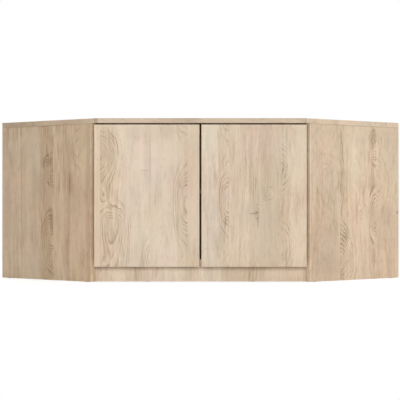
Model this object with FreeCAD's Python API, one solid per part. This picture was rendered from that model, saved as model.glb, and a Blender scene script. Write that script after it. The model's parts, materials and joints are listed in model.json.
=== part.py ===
import FreeCAD
import Part
import math
import os

# Corner TV cabinet, sizes in millimetres.
# X runs to the right seen from the front, Y towards the room corner, Z up.
# The origin is the bottom centre of the whole cabinet's bounding box.

# Carcass
WALL_LENGTH = 950.0         # each wall, from the outside of a side panel to the room corner
SIDE_DEPTH = 454.0          # side panel, from its front corner to the wall
HEIGHT = 525.0              # floor to the face of the top panel
CORNER_CUT = 110.0          # taken off the room corner, measured along Y
BOARD = 16.0                # coated board of the carcass
BACK_BOARD = 3.0            # hardboard of the back panels
BACK_REBATE = 10.0          # height of the back panels' seat in the top panel
BASE_HEIGHT = 58.0          # floor to the underside of the bottom panel
PLINTH_SETBACK = 30.0       # plinth behind the side panels' front corners
EDGE_ROUND = 0.8            # rounding of the outer edges of doors, top panel and side panels
CABLE_HOLE_RADIUS = 30.0
CABLE_HOLE_INSET = 48.0     # cable outlets from the upright edges of the rear corner panel

# Doors
DOOR_BOARD = 16.0
DOOR_STANDOFF = 5.5         # door back in front of the side panels' front corners
TOP_LIP = 1.0               # top panel in front of the door faces
TOP_GAP = 4.4               # between doors and top panel
CENTRE_GAP = 5.4            # between the doors
SIDE_REVEAL = 11.3          # door's outer edge inside the side panel's front corner
DOOR_DROP = 8.0             # doors below the underside of the bottom panel
BOTTOM_GAP = 2.0            # bottom panel's front edge behind the door backs

# Shelf and its pins
SHELF_HEIGHT = 283.0        # floor to the underside of the shelf
SHELF_SETBACK = 70.0        # shelf behind the side panels' front corners
SHELF_PLAY = 1.0            # shelf to the panels round it
SHELF_PIN_RADIUS = 2.5
SHELF_PIN_DEPTH = 10.0      # pin in the panel
TONGUE_LENGTH = 12.0
TONGUE_WIDTH = 8.0
TONGUE_THICKNESS = 4.0
SHELF_PIN_FRONT_INSET = 130.0
SHELF_PIN_REAR_INSET = 50.0
SHELF_PIN_CORNER_INSET = 36.0

# Cam fasteners, dowels, nails and glides
FIT = 0.1                   # room round a fastener in its hole
CAM_RADIUS = 7.5
CAM_FLOOR = 3.5             # board left under a cam
CAM_INSET = 34.0            # cam centre to the joint
BOLT_RADIUS = 3.5
THREAD_RADIUS = 2.5
BLIND_FLOOR = 5.0           # board left under a blind hole in a face
CAM_FRONT_INSET = 70.0
CAM_REAR_INSET = 66.0
CAM_CORNER_INSET = 36.0
DOWEL_RADIUS = 4.0
DOWEL_IN_EDGE = 18.0        # dowel in the edge of a board
DOWEL_SIDE_INSET = 112.0
DOWEL_PLINTH_INSET = 108.0
DOWEL_BRACE_INSET = 110.0
NAIL_RADIUS = 0.8
NAIL_LENGTH = 20.0
NAIL_HEAD_RADIUS = 1.8
NAIL_HEAD = 0.8
NAIL_UPRIGHT_INSET = 45.0   # nails from the cabinet floor and from the top panel
NAIL_WALL_INSET = 75.0      # nails from the ends of a back panel
GLIDE_RADIUS = 7.0
GLIDE_HEIGHT = 1.2
GLIDE_PIN_RADIUS = 1.5
GLIDE_PIN_LENGTH = 12.0
GLIDE_SIDE_INSET = 30.0
GLIDE_PLINTH_INSET = 190.0
GLIDE_CORNER_INSET = 26.0

# Hinges: pivot, cup and lugs on the door, arm and plate on the side panel
HINGE_INSET = 90.0          # hinges from the lower and upper edge of the door
PIVOT_INSET = 1.0           # pivot inside the door's outer edge
PIVOT_STANDOFF = 3.0        # pivot behind the door back
HINGE_PIN_RADIUS = 1.25
RUNNING_PLAY = 0.05
EYE_RADIUS = 2.4
PIN_HEAD_RADIUS = 2.0
PIN_HEAD = 0.8
CUP_RADIUS = 17.5
CUP_EDGE = 4.0              # door left between the cup and the door's outer edge
CUP_DEPTH = 11.5
CUP_WALL = 1.2
RIM_RADIUS = 18.5
FLANGE = 1.0
FLANGE_START = -2.0         # flange from the cup centre, away from the door's outer edge
FLANGE_END = 14.0
FLANGE_HEIGHT = 62.0
CUP_SCREW_OFFSET = 6.0
CUP_SCREW_SPACING = 48.0
LUG = 2.0
LUG_START = 7.5             # leg of a lug from the door's outer edge
LUG_END = 14.0
LUG_PLAY = 0.3
NOSE_HEIGHT = 8.0
NOSE_THICKNESS = 3.5
ARM_START = 2.0             # arm from the side panel's front end
ARM_END = 60.0
ARM_DEPTH = 9.0
ARM_HEIGHT = 13.0
ARM_SKIN = 1.5
PLATE_START = 17.0          # mounting plate from the side panel's front end
PLATE_END = 59.0
PLATE = 4.0
PLATE_HEIGHT = 13.0
WING = 2.0
WING_WIDTH = 12.0
WING_HEIGHT = 50.0
PLATE_SCREW_AT = 37.0
PLATE_SCREW_SPACING = 32.0
ARM_SCREWS_AT = (27.0, 51.0)
ARM_SCREW_RADIUS = 2.0
ARM_SCREW_HEAD_RADIUS = 3.2
ARM_SCREW_HEAD = 1.4

# Screw heads and wood screws of hinges and latches
RECESS_DEPTH = 1.0          # cross recess in a screw head or cam
RECESS_WIDTH = 0.9
RECESS_LENGTH = 3.8
SCREW_RADIUS = 1.75
SCREW_DEPTH = 11.0          # in the board
SCREW_HEAD_RADIUS = 3.2
SCREW_HEAD = 1.6

# Push latches under the top panel
LATCH_FROM_CENTRE = 45.0
LATCH_DROP = 13.0           # plunger axis below the top panel
LATCH_STROKE = 2.0
LATCH_GAP = 0.3             # plunger to strike plate with the door shut
LATCH_WIDTH = 16.0
LATCH_BELOW_AXIS = 7.0
LATCH_LENGTH = 60.0
LATCH_BORE_DEPTH = 55.0
LATCH_NOSE_PLAY = 0.5       # plunger head to housing at the end of its stroke
PLUNGER_RADIUS = 3.6
PLUNGER_PLAY = 0.3
PLUNGER_LENGTH = 36.0
PLUNGER_HEAD_RADIUS = 5.0
PLUNGER_HEAD = 3.0
SPRING_RADIUS = 2.7
SPRING_WIRE_RADIUS = 0.4
SPRING_PITCH = 2.6
EAR_REACH = 20.0            # half width across the housing's ears
EAR = 3.0
EAR_LENGTH = 16.0
EAR_SCREW_FROM_AXIS = 14.0
EAR_FROM_FRONT = 30.0
STRIKE_RADIUS = 7.0
STRIKE = 1.0
BUMPER_RADIUS = 4.0
BUMPER_PLAY = 0.3
BUMPER_FROM_CENTRE = 28.0
BUMPER_FROM_OUTER_EDGE = 40.0

# Drawing aids
OVERRUN = 1.0               # cutters past the faces they open
TOUCH = 0.001               # two heights this close count as the same
SIDE_TURN = 45.0            # degrees, side panels against the front

# Worked-out places
ROOT_TWO = math.sqrt(2)
WALL_HALF = WALL_LENGTH / ROOT_TWO
FRONT_HALF = (WALL_LENGTH - SIDE_DEPTH) / ROOT_TWO
TOP_OVERHANG = DOOR_STANDOFF + DOOR_BOARD + TOP_LIP
REAR_DEPTH = 2 * WALL_HALF - FRONT_HALF - CORNER_CUT
FRONT_Y = (TOP_OVERHANG - REAR_DEPTH) / 2
REAR_Y = FRONT_Y + REAR_DEPTH
WALL_RUN = ROOT_TWO * REAR_DEPTH - SIDE_DEPTH
UNDER_TOP = HEIGHT - BOARD
BOTTOM_TOP = BASE_HEIGHT + BOARD
PLINTH_BACK = FRONT_Y + PLINTH_SETBACK + BOARD
CORNER_FACE_Y = REAR_Y - BOARD
DOOR_OUTER = FRONT_HALF - SIDE_REVEAL
DOOR_BACK_Y = FRONT_Y - DOOR_STANDOFF
DOOR_LOW = BASE_HEIGHT - DOOR_DROP
DOOR_HIGH = UNDER_TOP - TOP_GAP
HINGE_HEIGHTS = (DOOR_LOW + HINGE_INSET, DOOR_HIGH - HINGE_INSET)
SIDE_LENGTH = SIDE_DEPTH - BACK_BOARD
PLINTH_HALF = FRONT_HALF + PLINTH_SETBACK - ROOT_TWO * BOARD
CORNER_HALF = CORNER_CUT - ROOT_TWO * BACK_BOARD
CABLE_HOLE_HEIGHTS = ((BOTTOM_TOP + SHELF_HEIGHT) / 2, (SHELF_HEIGHT + BOARD + UNDER_TOP) / 2)
PIVOT_U = (PIVOT_STANDOFF - DOOR_STANDOFF - PIVOT_INSET - SIDE_REVEAL) / ROOT_TWO
PIVOT_V = (PIVOT_STANDOFF - DOOR_STANDOFF + PIVOT_INSET + SIDE_REVEAL) / ROOT_TWO
CUP_CENTRE = CUP_EDGE + CUP_RADIUS
LUG_LOW = NOSE_HEIGHT / 2 + LUG_PLAY
ARM_BASE = BOARD + PLATE
ARM_TOP = ARM_BASE + ARM_DEPTH
LATCH_Z = UNDER_TOP - LATCH_DROP
LATCH_TIP_Y = DOOR_BACK_Y + STRIKE + LATCH_GAP
LATCH_FRONT_Y = LATCH_TIP_Y + PLUNGER_HEAD + LATCH_STROKE + LATCH_NOSE_PLAY
BORE_END_Y = LATCH_FRONT_Y + LATCH_BORE_DEPTH
PLUNGER_END_Y = LATCH_TIP_Y + PLUNGER_HEAD + PLUNGER_LENGTH
BOLT_THREAD = BOARD - BLIND_FLOOR

Vector = FreeCAD.Vector
ALONG_X = Vector(1, 0, 0)
ALONG_Y = Vector(0, 1, 0)
UP = Vector(0, 0, 1)


# Shape helpers

def box(x_span, y_span, z_span):
    """Box between pairs of limits."""
    corner = Vector(x_span[0], y_span[0], z_span[0])
    return Part.makeBox(x_span[1] - x_span[0], y_span[1] - y_span[0], z_span[1] - z_span[0], corner)


def around(middle, size):
    """Pair of limits round a middle value."""
    return (middle - size / 2, middle + size / 2)


def spread(low, high, count):
    """Evenly spaced values from one limit to the other."""
    return [low + (high - low) * index / (count - 1) for index in range(count)]


def upright(outline, low, high):
    """Prism on a plan outline between two heights."""
    corners = [Vector(x, y, low) for x, y in outline]
    face = Part.Face(Part.makePolygon(corners + corners[:1]))
    return face.extrude(Vector(0, 0, high - low))


def turned(start, direction, steps, room=0.0):
    """Round pin of (radius, length) steps along a direction, larger all round by the room."""
    marks = [0.0]
    for step in steps:
        marks.append(marks[-1] + step[1])
    marks[0] = marks[0] - room
    marks[-1] = marks[-1] + room
    profile = [Vector(0, 0, marks[0])]
    for index, step in enumerate(steps):
        profile.append(Vector(step[0] + room, 0, marks[index]))
        profile.append(Vector(step[0] + room, 0, marks[index + 1]))
    profile.append(Vector(0, 0, marks[-1]))
    face = Part.Face(Part.makePolygon(profile + profile[:1]))
    solid = face.revolve(Vector(0, 0, 0), UP, 360)
    solid.Placement = FreeCAD.Placement(Vector(*start), FreeCAD.Rotation(UP, Vector(*direction)))
    return solid


def crossed(fastener, head_face, inward):
    """Fastener with a cross recess cut into its head face."""
    depth = (-OVERRUN, RECESS_DEPTH)
    long_span = around(0, RECESS_LENGTH)
    short_span = around(0, RECESS_WIDTH)
    cross = box(long_span, short_span, depth).fuse(box(short_span, long_span, depth))
    cross.Placement = FreeCAD.Placement(Vector(*head_face), FreeCAD.Rotation(UP, Vector(*inward)))
    return fastener.cut(cross)


def joined(shapes):
    """One solid from overlapping shapes."""
    return shapes[0].fuse(list(shapes[1:])).removeSplitter()


def moved(shape, offset):
    """Copy of a shape, shifted."""
    copy = shape.copy()
    copy.translate(offset)
    return copy


def mirrored(shape):
    """Copy of a shape on the other side of the cabinet."""
    return shape.mirror(Vector(0, 0, 0), ALONG_X)


def on_right_side(shape):
    """Place a shape drawn along the right side panel: X from its front end, Y from its outer face."""
    frame = FreeCAD.Placement(Vector(FRONT_HALF, FRONT_Y, 0), FreeCAD.Rotation(UP, SIDE_TURN))
    copy = shape.copy()
    copy.Placement = frame.multiply(copy.Placement)
    return copy


def on_left_door(shape):
    """Place a shape drawn on the left door: X from its outer edge, Y from its back."""
    return moved(shape, Vector(-DOOR_OUTER, DOOR_BACK_Y, 0))


def both_sides(shapes):
    """Right-hand shapes and their mirror images in one list."""
    return shapes + [mirrored(shape) for shape in shapes]


def drilled(board, holes):
    """Board with the holes that reach it."""
    near = [hole for hole in holes if hole.BoundBox.intersect(board.BoundBox)]
    return board.cut(near).removeSplitter() if near else board


def rounded(solid, chosen):
    """Solid with small roundings on the edges whose corners all pass a test."""
    edges = [edge for edge in solid.Edges if all(chosen(corner) for corner in edge.Vertexes)]
    return solid.makeFillet(EDGE_ROUND, edges)


# Plan outlines

def side_point(along, inward):
    """Plan point along the right side panel and inward from its outer face."""
    return (FRONT_HALF + (along - inward) / ROOT_TWO, FRONT_Y + (along + inward) / ROOT_TWO)


def both_halves(right_half):
    """Closed outline from its right-hand points, front to back."""
    return right_half + [(-x, y) for x, y in reversed(right_half)]


def inner_outline(front, side, wall, rear):
    """Outline inside the carcass from its insets: front edge, side panel, wall and rear face."""
    front_corner = (FRONT_HALF + front - ROOT_TWO * side, FRONT_Y + front)
    rear_corner = (CORNER_CUT + rear - ROOT_TWO * wall, REAR_Y - rear)
    return both_halves([front_corner, side_point(SIDE_DEPTH - wall, side), rear_corner])


# Fasteners, each with the holes it needs

def cam_fastener(seat, inward, towards):
    """Cam in a board's face and its bolt towards the joint: cam, bolt, holes."""
    middle = Vector(*seat) + inward * (BOARD / 2)
    cam_steps = [(CAM_RADIUS, BOARD - CAM_FLOOR)]
    bolt_steps = [(BOLT_RADIUS, CAM_INSET), (THREAD_RADIUS, BOLT_THREAD)]
    bolt_hole = turned(middle, towards, bolt_steps, FIT)
    cam = crossed(turned(seat, inward, cam_steps).cut(bolt_hole), seat, inward)
    return cam, turned(middle, towards, bolt_steps), [turned(seat, inward, cam_steps, FIT), bolt_hole]


def cam_fasteners():
    """Cams, bolts and holes of all the panel joints."""
    placed = []
    for along in (CAM_FRONT_INSET, SIDE_LENGTH - CAM_REAR_INSET):
        to_top = cam_fastener((along, BOARD, UNDER_TOP - CAM_INSET), -ALONG_Y, UP)
        from_bottom = cam_fastener((along, BOARD + CAM_INSET, BASE_HEIGHT), UP, -ALONG_Y)
        for cam, bolt, holes in (to_top, from_bottom):
            placed.append((on_right_side(cam), on_right_side(bolt), [on_right_side(hole) for hole in holes]))
    across = CORNER_HALF - CAM_CORNER_INSET
    placed.append(cam_fastener((across, CORNER_FACE_Y, UNDER_TOP - CAM_INSET), ALONG_Y, UP))
    placed.append(cam_fastener((across, CORNER_FACE_Y - CAM_INSET, BASE_HEIGHT), UP, ALONG_Y))
    cams = both_sides([cam for cam, bolt, holes in placed])
    bolts = both_sides([bolt for cam, bolt, holes in placed])
    return cams, bolts, both_sides([hole for cam, bolt, holes in placed for hole in holes])


def dowels():
    """Wooden dowels and their holes."""
    in_face = BOARD - BLIND_FLOOR
    length = in_face + DOWEL_IN_EDGE
    seats = []
    inward = Vector(-1, 1, 0)
    for along in (DOWEL_SIDE_INSET, SIDE_LENGTH - DOWEL_SIDE_INSET):
        seats.append((side_point(along, BOARD / 2) + (UNDER_TOP - DOWEL_IN_EDGE,), UP))
        seats.append((side_point(along, BOARD - in_face) + (BASE_HEIGHT + BOARD / 2,), inward))
    pins = both_sides([turned(seat, direction, [(DOWEL_RADIUS, length)]) for seat, direction in seats])
    holes = both_sides([turned(seat, direction, [(DOWEL_RADIUS, length)], FIT) for seat, direction in seats])
    plinth_end = PLINTH_HALF - DOWEL_PLINTH_INSET
    base = [(across, PLINTH_BACK - BOARD / 2) for across in spread(-plinth_end, plinth_end, 4)]
    base += [(0, along) for along in spread(PLINTH_BACK + DOWEL_BRACE_INSET,
                                            CORNER_FACE_Y - DOWEL_BRACE_INSET, 3)]
    for across, along in base:
        seat = (across, along, BASE_HEIGHT - DOWEL_IN_EDGE)
        pins.append(turned(seat, UP, [(DOWEL_RADIUS, length)]))
        holes.append(turned(seat, UP, [(DOWEL_RADIUS, length)], FIT))
    return pins, holes


def back_panel_nails():
    """Nails round the edge of both back panels, and their holes."""
    corner_edge = ROOT_TWO * (REAR_DEPTH - BOARD / 2) - SIDE_LENGTH
    heights = spread(BOTTOM_TOP + NAIL_UPRIGHT_INSET, UNDER_TOP - NAIL_UPRIGHT_INSET, 4)
    run = spread(NAIL_WALL_INSET, WALL_RUN - NAIL_WALL_INSET, 5)
    places = [(edge, height) for edge in (BOARD / 2, corner_edge) for height in heights]
    places += [(along, height) for height in (BASE_HEIGHT + BOARD / 2, UNDER_TOP + BACK_REBATE / 2)
               for along in run]
    steps = [(NAIL_RADIUS, NAIL_LENGTH - NAIL_HEAD), (NAIL_HEAD_RADIUS, NAIL_HEAD)]
    nails = []
    holes = []
    for along, height in places:
        point = (SIDE_DEPTH - NAIL_LENGTH, along, height)
        nails.append(on_right_side(turned(point, ALONG_X, steps)))
        holes.append(on_right_side(turned(point, ALONG_X, steps, FIT)))
    return both_sides(nails), both_sides(holes)


def floor_glides():
    """Plastic glides under the carcass and the holes for their pins."""
    feet = [side_point(along, BOARD / 2) for along in (GLIDE_SIDE_INSET, SIDE_LENGTH - GLIDE_SIDE_INSET)]
    feet.append((PLINTH_HALF - GLIDE_PLINTH_INSET, PLINTH_BACK - BOARD / 2))
    feet.append((CORNER_HALF - GLIDE_CORNER_INSET, REAR_Y - BOARD / 2))
    feet += [(-x, y) for x, y in feet]
    feet.append((0, (PLINTH_BACK + CORNER_FACE_Y) / 2))
    steps = [(GLIDE_RADIUS, GLIDE_HEIGHT), (GLIDE_PIN_RADIUS, GLIDE_PIN_LENGTH)]
    glides = [turned((x, y, 0), UP, steps) for x, y in feet]
    pin = [(GLIDE_PIN_RADIUS, GLIDE_PIN_LENGTH)]
    return glides, [turned((x, y, GLIDE_HEIGHT), UP, pin, FIT) for x, y in feet]


def wood_screw(head_seat, inward, plate):
    """Screw through a plate into a board: screw and hole. The head seat is the plate's outer face."""
    shank = SCREW_DEPTH + plate
    start = Vector(*head_seat) - inward * SCREW_HEAD
    screw = turned(start, inward, [(SCREW_HEAD_RADIUS, SCREW_HEAD), (SCREW_RADIUS, shank)])
    return crossed(screw, start, inward), turned(head_seat, inward, [(SCREW_RADIUS, shank)], FIT)


# Hinges, drawn at height 0

def hinge_plate():
    """Mounting plate on the right side panel: a bar with two wings."""
    bar = box((PLATE_START, PLATE_END), (BOARD, ARM_BASE), around(0, PLATE_HEIGHT))
    wings = box(around(PLATE_SCREW_AT, WING_WIDTH), (BOARD, BOARD + WING), around(0, WING_HEIGHT))
    return joined([bar, wings])


def hinge_plate_screws():
    """Two screws through the wings of a mounting plate, and their holes."""
    pairs = []
    for height in around(0, PLATE_SCREW_SPACING):
        pairs.append(wood_screw((PLATE_SCREW_AT, BOARD + WING, height), -ALONG_Y, WING))
    return [screw for screw, hole in pairs], [hole for screw, hole in pairs]


def hinge_arm():
    """Arm on the mounting plate: a channel with a bent nose that ends in the eye round the pivot."""
    channel = box((ARM_START, ARM_END), (ARM_BASE, ARM_TOP), around(0, ARM_HEIGHT))
    inside = box((ARM_START + ARM_SKIN, ARM_END + OVERRUN), (ARM_BASE - OVERRUN, ARM_TOP - ARM_SKIN),
                 around(0, ARM_HEIGHT - 2 * ARM_SKIN))
    nose_span = around(0, NOSE_HEIGHT)
    nose_tip = around(PIVOT_U, NOSE_THICKNESS)
    reach = box((nose_tip[0], ARM_START + ARM_SKIN), (ARM_TOP - NOSE_THICKNESS, ARM_TOP), nose_span)
    drop = box(nose_tip, (PIVOT_V, ARM_TOP), nose_span)
    eye = turned((PIVOT_U, PIVOT_V, -NOSE_HEIGHT / 2), UP, [(EYE_RADIUS, NOSE_HEIGHT)])
    pin_hole = turned((PIVOT_U, PIVOT_V, -NOSE_HEIGHT / 2), UP,
                      [(HINGE_PIN_RADIUS, NOSE_HEIGHT)], RUNNING_PLAY)
    return joined([channel.cut(inside), reach, drop, eye]).cut(pin_hole)


def hinge_arm_screws():
    """Adjusting and fixing screw of an arm, and their holes."""
    screws = []
    holes = []
    length = ARM_DEPTH + PLATE / 2
    for along in ARM_SCREWS_AT:
        start = (along, ARM_TOP + ARM_SCREW_HEAD, 0)
        head = (ARM_SCREW_HEAD_RADIUS, ARM_SCREW_HEAD)
        screw = turned(start, -ALONG_Y, [head, (ARM_SCREW_RADIUS, length)])
        screws.append(crossed(screw, start, -ALONG_Y))
        holes.append(turned((along, ARM_TOP, 0), -ALONG_Y, [(ARM_SCREW_RADIUS, length)], FIT))
    return screws, holes


def hinge_cup():
    """Cup with its flange and the two lugs that hold the pivot pin, on the left door."""
    pot = turned((CUP_CENTRE, -CUP_DEPTH, 0), ALONG_Y, [(CUP_RADIUS, CUP_DEPTH), (RIM_RADIUS, FLANGE)])
    wings = box((CUP_CENTRE + FLANGE_START, CUP_CENTRE + FLANGE_END), (0, FLANGE), around(0, FLANGE_HEIGHT))
    floor = CUP_WALL - CUP_DEPTH
    hollow = turned((CUP_CENTRE, floor, 0), ALONG_Y, [(CUP_RADIUS - CUP_WALL, FLANGE - floor + OVERRUN)])
    low = PIVOT_STANDOFF - EYE_RADIUS
    high = PIVOT_STANDOFF + EYE_RADIUS
    foot = floor - CUP_WALL / 2
    lug_outline = [(PIVOT_INSET, low), (LUG_START, low), (LUG_START, foot), (LUG_END, foot),
                   (LUG_END, high), (PIVOT_INSET, high)]
    lugs = []
    for bottom in (LUG_LOW, -LUG_LOW - LUG):
        leg = upright(lug_outline, bottom, bottom + LUG)
        eye = turned((PIVOT_INSET, PIVOT_STANDOFF, bottom), UP, [(EYE_RADIUS, LUG)])
        lugs += [leg, eye]
    pin_hole = turned((PIVOT_INSET, PIVOT_STANDOFF, -LUG_LOW - LUG), UP,
                      [(HINGE_PIN_RADIUS, 2 * (LUG_LOW + LUG))])
    return joined([joined([pot, wings]).cut(hollow)] + lugs).cut(pin_hole)


def hinge_pin():
    """Pivot pin with a head at each end, on the left door."""
    end = LUG_LOW + LUG
    head = (PIN_HEAD_RADIUS, PIN_HEAD)
    start = (PIVOT_INSET, PIVOT_STANDOFF, -end - PIN_HEAD)
    return turned(start, UP, [head, (HINGE_PIN_RADIUS, 2 * end), head])


def cup_screws():
    """Two screws through a cup's flange, and their holes."""
    pairs = []
    for height in around(0, CUP_SCREW_SPACING):
        pairs.append(wood_screw((CUP_CENTRE + CUP_SCREW_OFFSET, FLANGE, height), -ALONG_Y, FLANGE))
    return [screw for screw, hole in pairs], [hole for screw, hole in pairs]


def at_hinges(shapes):
    """Shapes repeated at the height of each hinge."""
    return [moved(shape, Vector(0, 0, height)) for height in HINGE_HEIGHTS for shape in shapes]


# Push latches, drawn for the right door

def latch_housing():
    """Latch body with a blind bore for the plunger and two ears against the top panel."""
    body = box(around(LATCH_FROM_CENTRE, LATCH_WIDTH), (LATCH_FRONT_Y, LATCH_FRONT_Y + LATCH_LENGTH),
               (LATCH_Z - LATCH_BELOW_AXIS, UNDER_TOP))
    ears = box(around(LATCH_FROM_CENTRE, 2 * EAR_REACH), around(LATCH_FRONT_Y + EAR_FROM_FRONT, EAR_LENGTH),
               (UNDER_TOP - EAR, UNDER_TOP))
    bore_start = (LATCH_FROM_CENTRE, LATCH_FRONT_Y - OVERRUN, LATCH_Z)
    bore = turned(bore_start, ALONG_Y, [(PLUNGER_RADIUS + PLUNGER_PLAY, LATCH_BORE_DEPTH + OVERRUN)])
    return joined([body, ears]).cut(bore)


def latch_plunger():
    """Round plunger with a wider head."""
    steps = [(PLUNGER_HEAD_RADIUS, PLUNGER_HEAD), (PLUNGER_RADIUS, PLUNGER_LENGTH)]
    return turned((LATCH_FROM_CENTRE, LATCH_TIP_Y, LATCH_Z), ALONG_Y, steps)


def latch_spring():
    """Coil spring between the plunger's end and the end of the bore."""
    coil_length = BORE_END_Y - PLUNGER_END_Y - 2 * SPRING_WIRE_RADIUS
    path = Part.makeHelix(SPRING_PITCH, coil_length, SPRING_RADIUS)
    circle = Part.makeCircle(SPRING_WIRE_RADIUS, Vector(SPRING_RADIUS, 0, 0), ALONG_Y)
    coil = Part.Wire(path.Edges).makePipeShell([Part.Wire(circle)], True, True)
    start = Vector(LATCH_FROM_CENTRE, PLUNGER_END_Y + SPRING_WIRE_RADIUS, LATCH_Z)
    coil.Placement = FreeCAD.Placement(start, FreeCAD.Rotation(UP, ALONG_Y))
    return coil


def latch_screws():
    """Two screws through a housing's ears, and their holes."""
    pairs = []
    for across in around(LATCH_FROM_CENTRE, 2 * EAR_SCREW_FROM_AXIS):
        seat = (across, LATCH_FRONT_Y + EAR_FROM_FRONT, UNDER_TOP - EAR)
        pairs.append(wood_screw(seat, UP, EAR))
    return [screw for screw, hole in pairs], [hole for screw, hole in pairs]


# Panels, before drilling

def top_panel():
    """Slab with the plan of the whole cabinet, rebated for the back panels."""
    front = (FRONT_HALF - TOP_OVERHANG, FRONT_Y - TOP_OVERHANG)
    outline = both_halves([front, side_point(SIDE_DEPTH, 0), (CORNER_CUT, REAR_Y)])
    blank = upright(outline, UNDER_TOP, HEIGHT)
    upper = rounded(blank, lambda corner: abs(corner.Z - HEIGHT) < TOUCH)
    slab = rounded(upper, lambda corner: abs(corner.Z - UNDER_TOP) < TOUCH)
    seat = on_right_side(box((SIDE_LENGTH, SIDE_DEPTH + OVERRUN),
                             (-OVERRUN, WALL_RUN + BACK_BOARD + OVERRUN),
                             (UNDER_TOP - OVERRUN, UNDER_TOP + BACK_REBATE)))
    return slab.cut([seat, mirrored(seat)])


def bottom_panel():
    """Cabinet floor between side panels, back panels and rear corner panel."""
    outline = inner_outline(BOTTOM_GAP - DOOR_STANDOFF, BOARD, BACK_BOARD, BOARD)
    return upright(outline, BASE_HEIGHT, BOTTOM_TOP)


def shelf():
    """Loose shelf with a little play all round."""
    outline = inner_outline(SHELF_SETBACK, BOARD + SHELF_PLAY, BACK_BOARD + SHELF_PLAY, BOARD + SHELF_PLAY)
    return upright(outline, SHELF_HEIGHT, SHELF_HEIGHT + BOARD)


def right_side_panel():
    """Side panel from the glides to the top panel, with lightly rounded outer edges."""
    board = box((0, SIDE_LENGTH), (0, BOARD), (GLIDE_HEIGHT, UNDER_TOP))
    return on_right_side(rounded(board, lambda corner: abs(corner.Y) < TOUCH))


def right_back_panel():
    """Hardboard on the wall side, let into the top panel and as low as the side panels."""
    return on_right_side(box((SIDE_LENGTH, SIDE_DEPTH), (0, WALL_RUN),
                             (GLIDE_HEIGHT, UNDER_TOP + BACK_REBATE)))


def rear_corner_panel():
    """Upright board across the room corner, with mitred edges and a pair of cable outlets at each level."""
    outline = both_halves([(CORNER_HALF + BOARD, CORNER_FACE_Y), (CORNER_HALF, REAR_Y)])
    board = upright(outline, GLIDE_HEIGHT, UNDER_TOP)
    outlets = []
    for height in CABLE_HOLE_HEIGHTS:
        start = (CORNER_HALF - CABLE_HOLE_INSET, CORNER_FACE_Y - OVERRUN, height)
        outlets.append(turned(start, ALONG_Y, [(CABLE_HOLE_RADIUS, BOARD + 2 * OVERRUN)]))
    return board.cut(both_sides(outlets))


def plinth_board():
    """Recessed base board with ends mitred against the side panels."""
    outline = both_halves([(PLINTH_HALF, PLINTH_BACK - BOARD), (PLINTH_HALF + BOARD, PLINTH_BACK)])
    return upright(outline, GLIDE_HEIGHT, BASE_HEIGHT)


def plinth_brace():
    """Board on edge under the middle of the cabinet floor."""
    return box(around(0, BOARD), (PLINTH_BACK, CORNER_FACE_Y), (GLIDE_HEIGHT, BASE_HEIGHT))


def right_door():
    """Flat door with lightly rounded front edges."""
    front = DOOR_BACK_Y - DOOR_BOARD
    slab = box((CENTRE_GAP / 2, DOOR_OUTER), (front, DOOR_BACK_Y), (DOOR_LOW, DOOR_HIGH))
    return rounded(slab, lambda corner: abs(corner.Y - front) < TOUCH)


def shelf_pins():
    """Spoon-shaped shelf pins in the side panels and the rear corner panel, and their holes."""
    pin_z = SHELF_HEIGHT - TONGUE_THICKNESS / 2
    tongue_z = (SHELF_HEIGHT - TONGUE_THICKNESS, SHELF_HEIGHT)
    pin_steps = [(SHELF_PIN_RADIUS, SHELF_PIN_DEPTH)]
    drawn = []
    for along in (SHELF_PIN_FRONT_INSET, SIDE_LENGTH - SHELF_PIN_REAR_INSET):
        tongue = box(around(along, TONGUE_WIDTH), (BOARD, BOARD + TONGUE_LENGTH), tongue_z)
        start = (along, BOARD, pin_z)
        pin = joined([tongue, turned(start, -ALONG_Y, pin_steps)])
        drawn.append((on_right_side(pin), on_right_side(turned(start, -ALONG_Y, pin_steps, FIT))))
    across = CORNER_HALF - SHELF_PIN_CORNER_INSET
    tongue = box(around(across, TONGUE_WIDTH), (CORNER_FACE_Y - TONGUE_LENGTH, CORNER_FACE_Y), tongue_z)
    start = (across, CORNER_FACE_Y, pin_z)
    drawn.append((joined([tongue, turned(start, ALONG_Y, pin_steps)]), turned(start, ALONG_Y, pin_steps, FIT)))
    return both_sides([pin for pin, hole in drawn]), both_sides([hole for pin, hole in drawn])


def door_fittings():
    """Hinge cups, their screws and pins, strike plate and bumpers of the left door, and its holes."""
    screws, screw_holes = cup_screws()
    cup_hole = turned((CUP_CENTRE, -CUP_DEPTH, 0), ALONG_Y, [(CUP_RADIUS, CUP_DEPTH)], FIT)
    strike_at = (DOOR_OUTER - LATCH_FROM_CENTRE, 0, LATCH_Z)
    bumper = [(BUMPER_RADIUS, BOTTOM_GAP - BUMPER_PLAY)]
    bumpers = []
    for inset in (DOOR_OUTER - BUMPER_FROM_CENTRE, BUMPER_FROM_OUTER_EDGE):
        bumpers.append(turned((inset, 0, BASE_HEIGHT + BOARD / 2), ALONG_Y, bumper))
    fittings = {
        "hinge_cups": at_hinges([drilled(hinge_cup(), screw_holes)]),
        "hinge_pins": at_hinges([hinge_pin()]),
        "cup_screws": at_hinges(screws),
        "strike_plate": [turned(strike_at, ALONG_Y, [(STRIKE_RADIUS, STRIKE)])],
        "door_bumpers": bumpers,
    }
    placed = {name: [on_left_door(shape) for shape in shapes] for name, shapes in fittings.items()}
    return placed, [on_left_door(hole) for hole in at_hinges([cup_hole] + screw_holes)]


def write(node, shapes):
    """One file for a node, with each of its solids by itself."""
    solids = [solid for shape in shapes for solid in shape.Solids]
    node_shape = solids[0] if len(solids) == 1 else Part.makeCompound(solids)
    node_shape.exportStep("parts/" + node + ".step")


def write_pair(name, left, right):
    """Left-hand and right-hand node of the same kind."""
    write("left_" + name, left)
    write("right_" + name, right)


# The whole cabinet

os.makedirs("parts", exist_ok=True)

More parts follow.
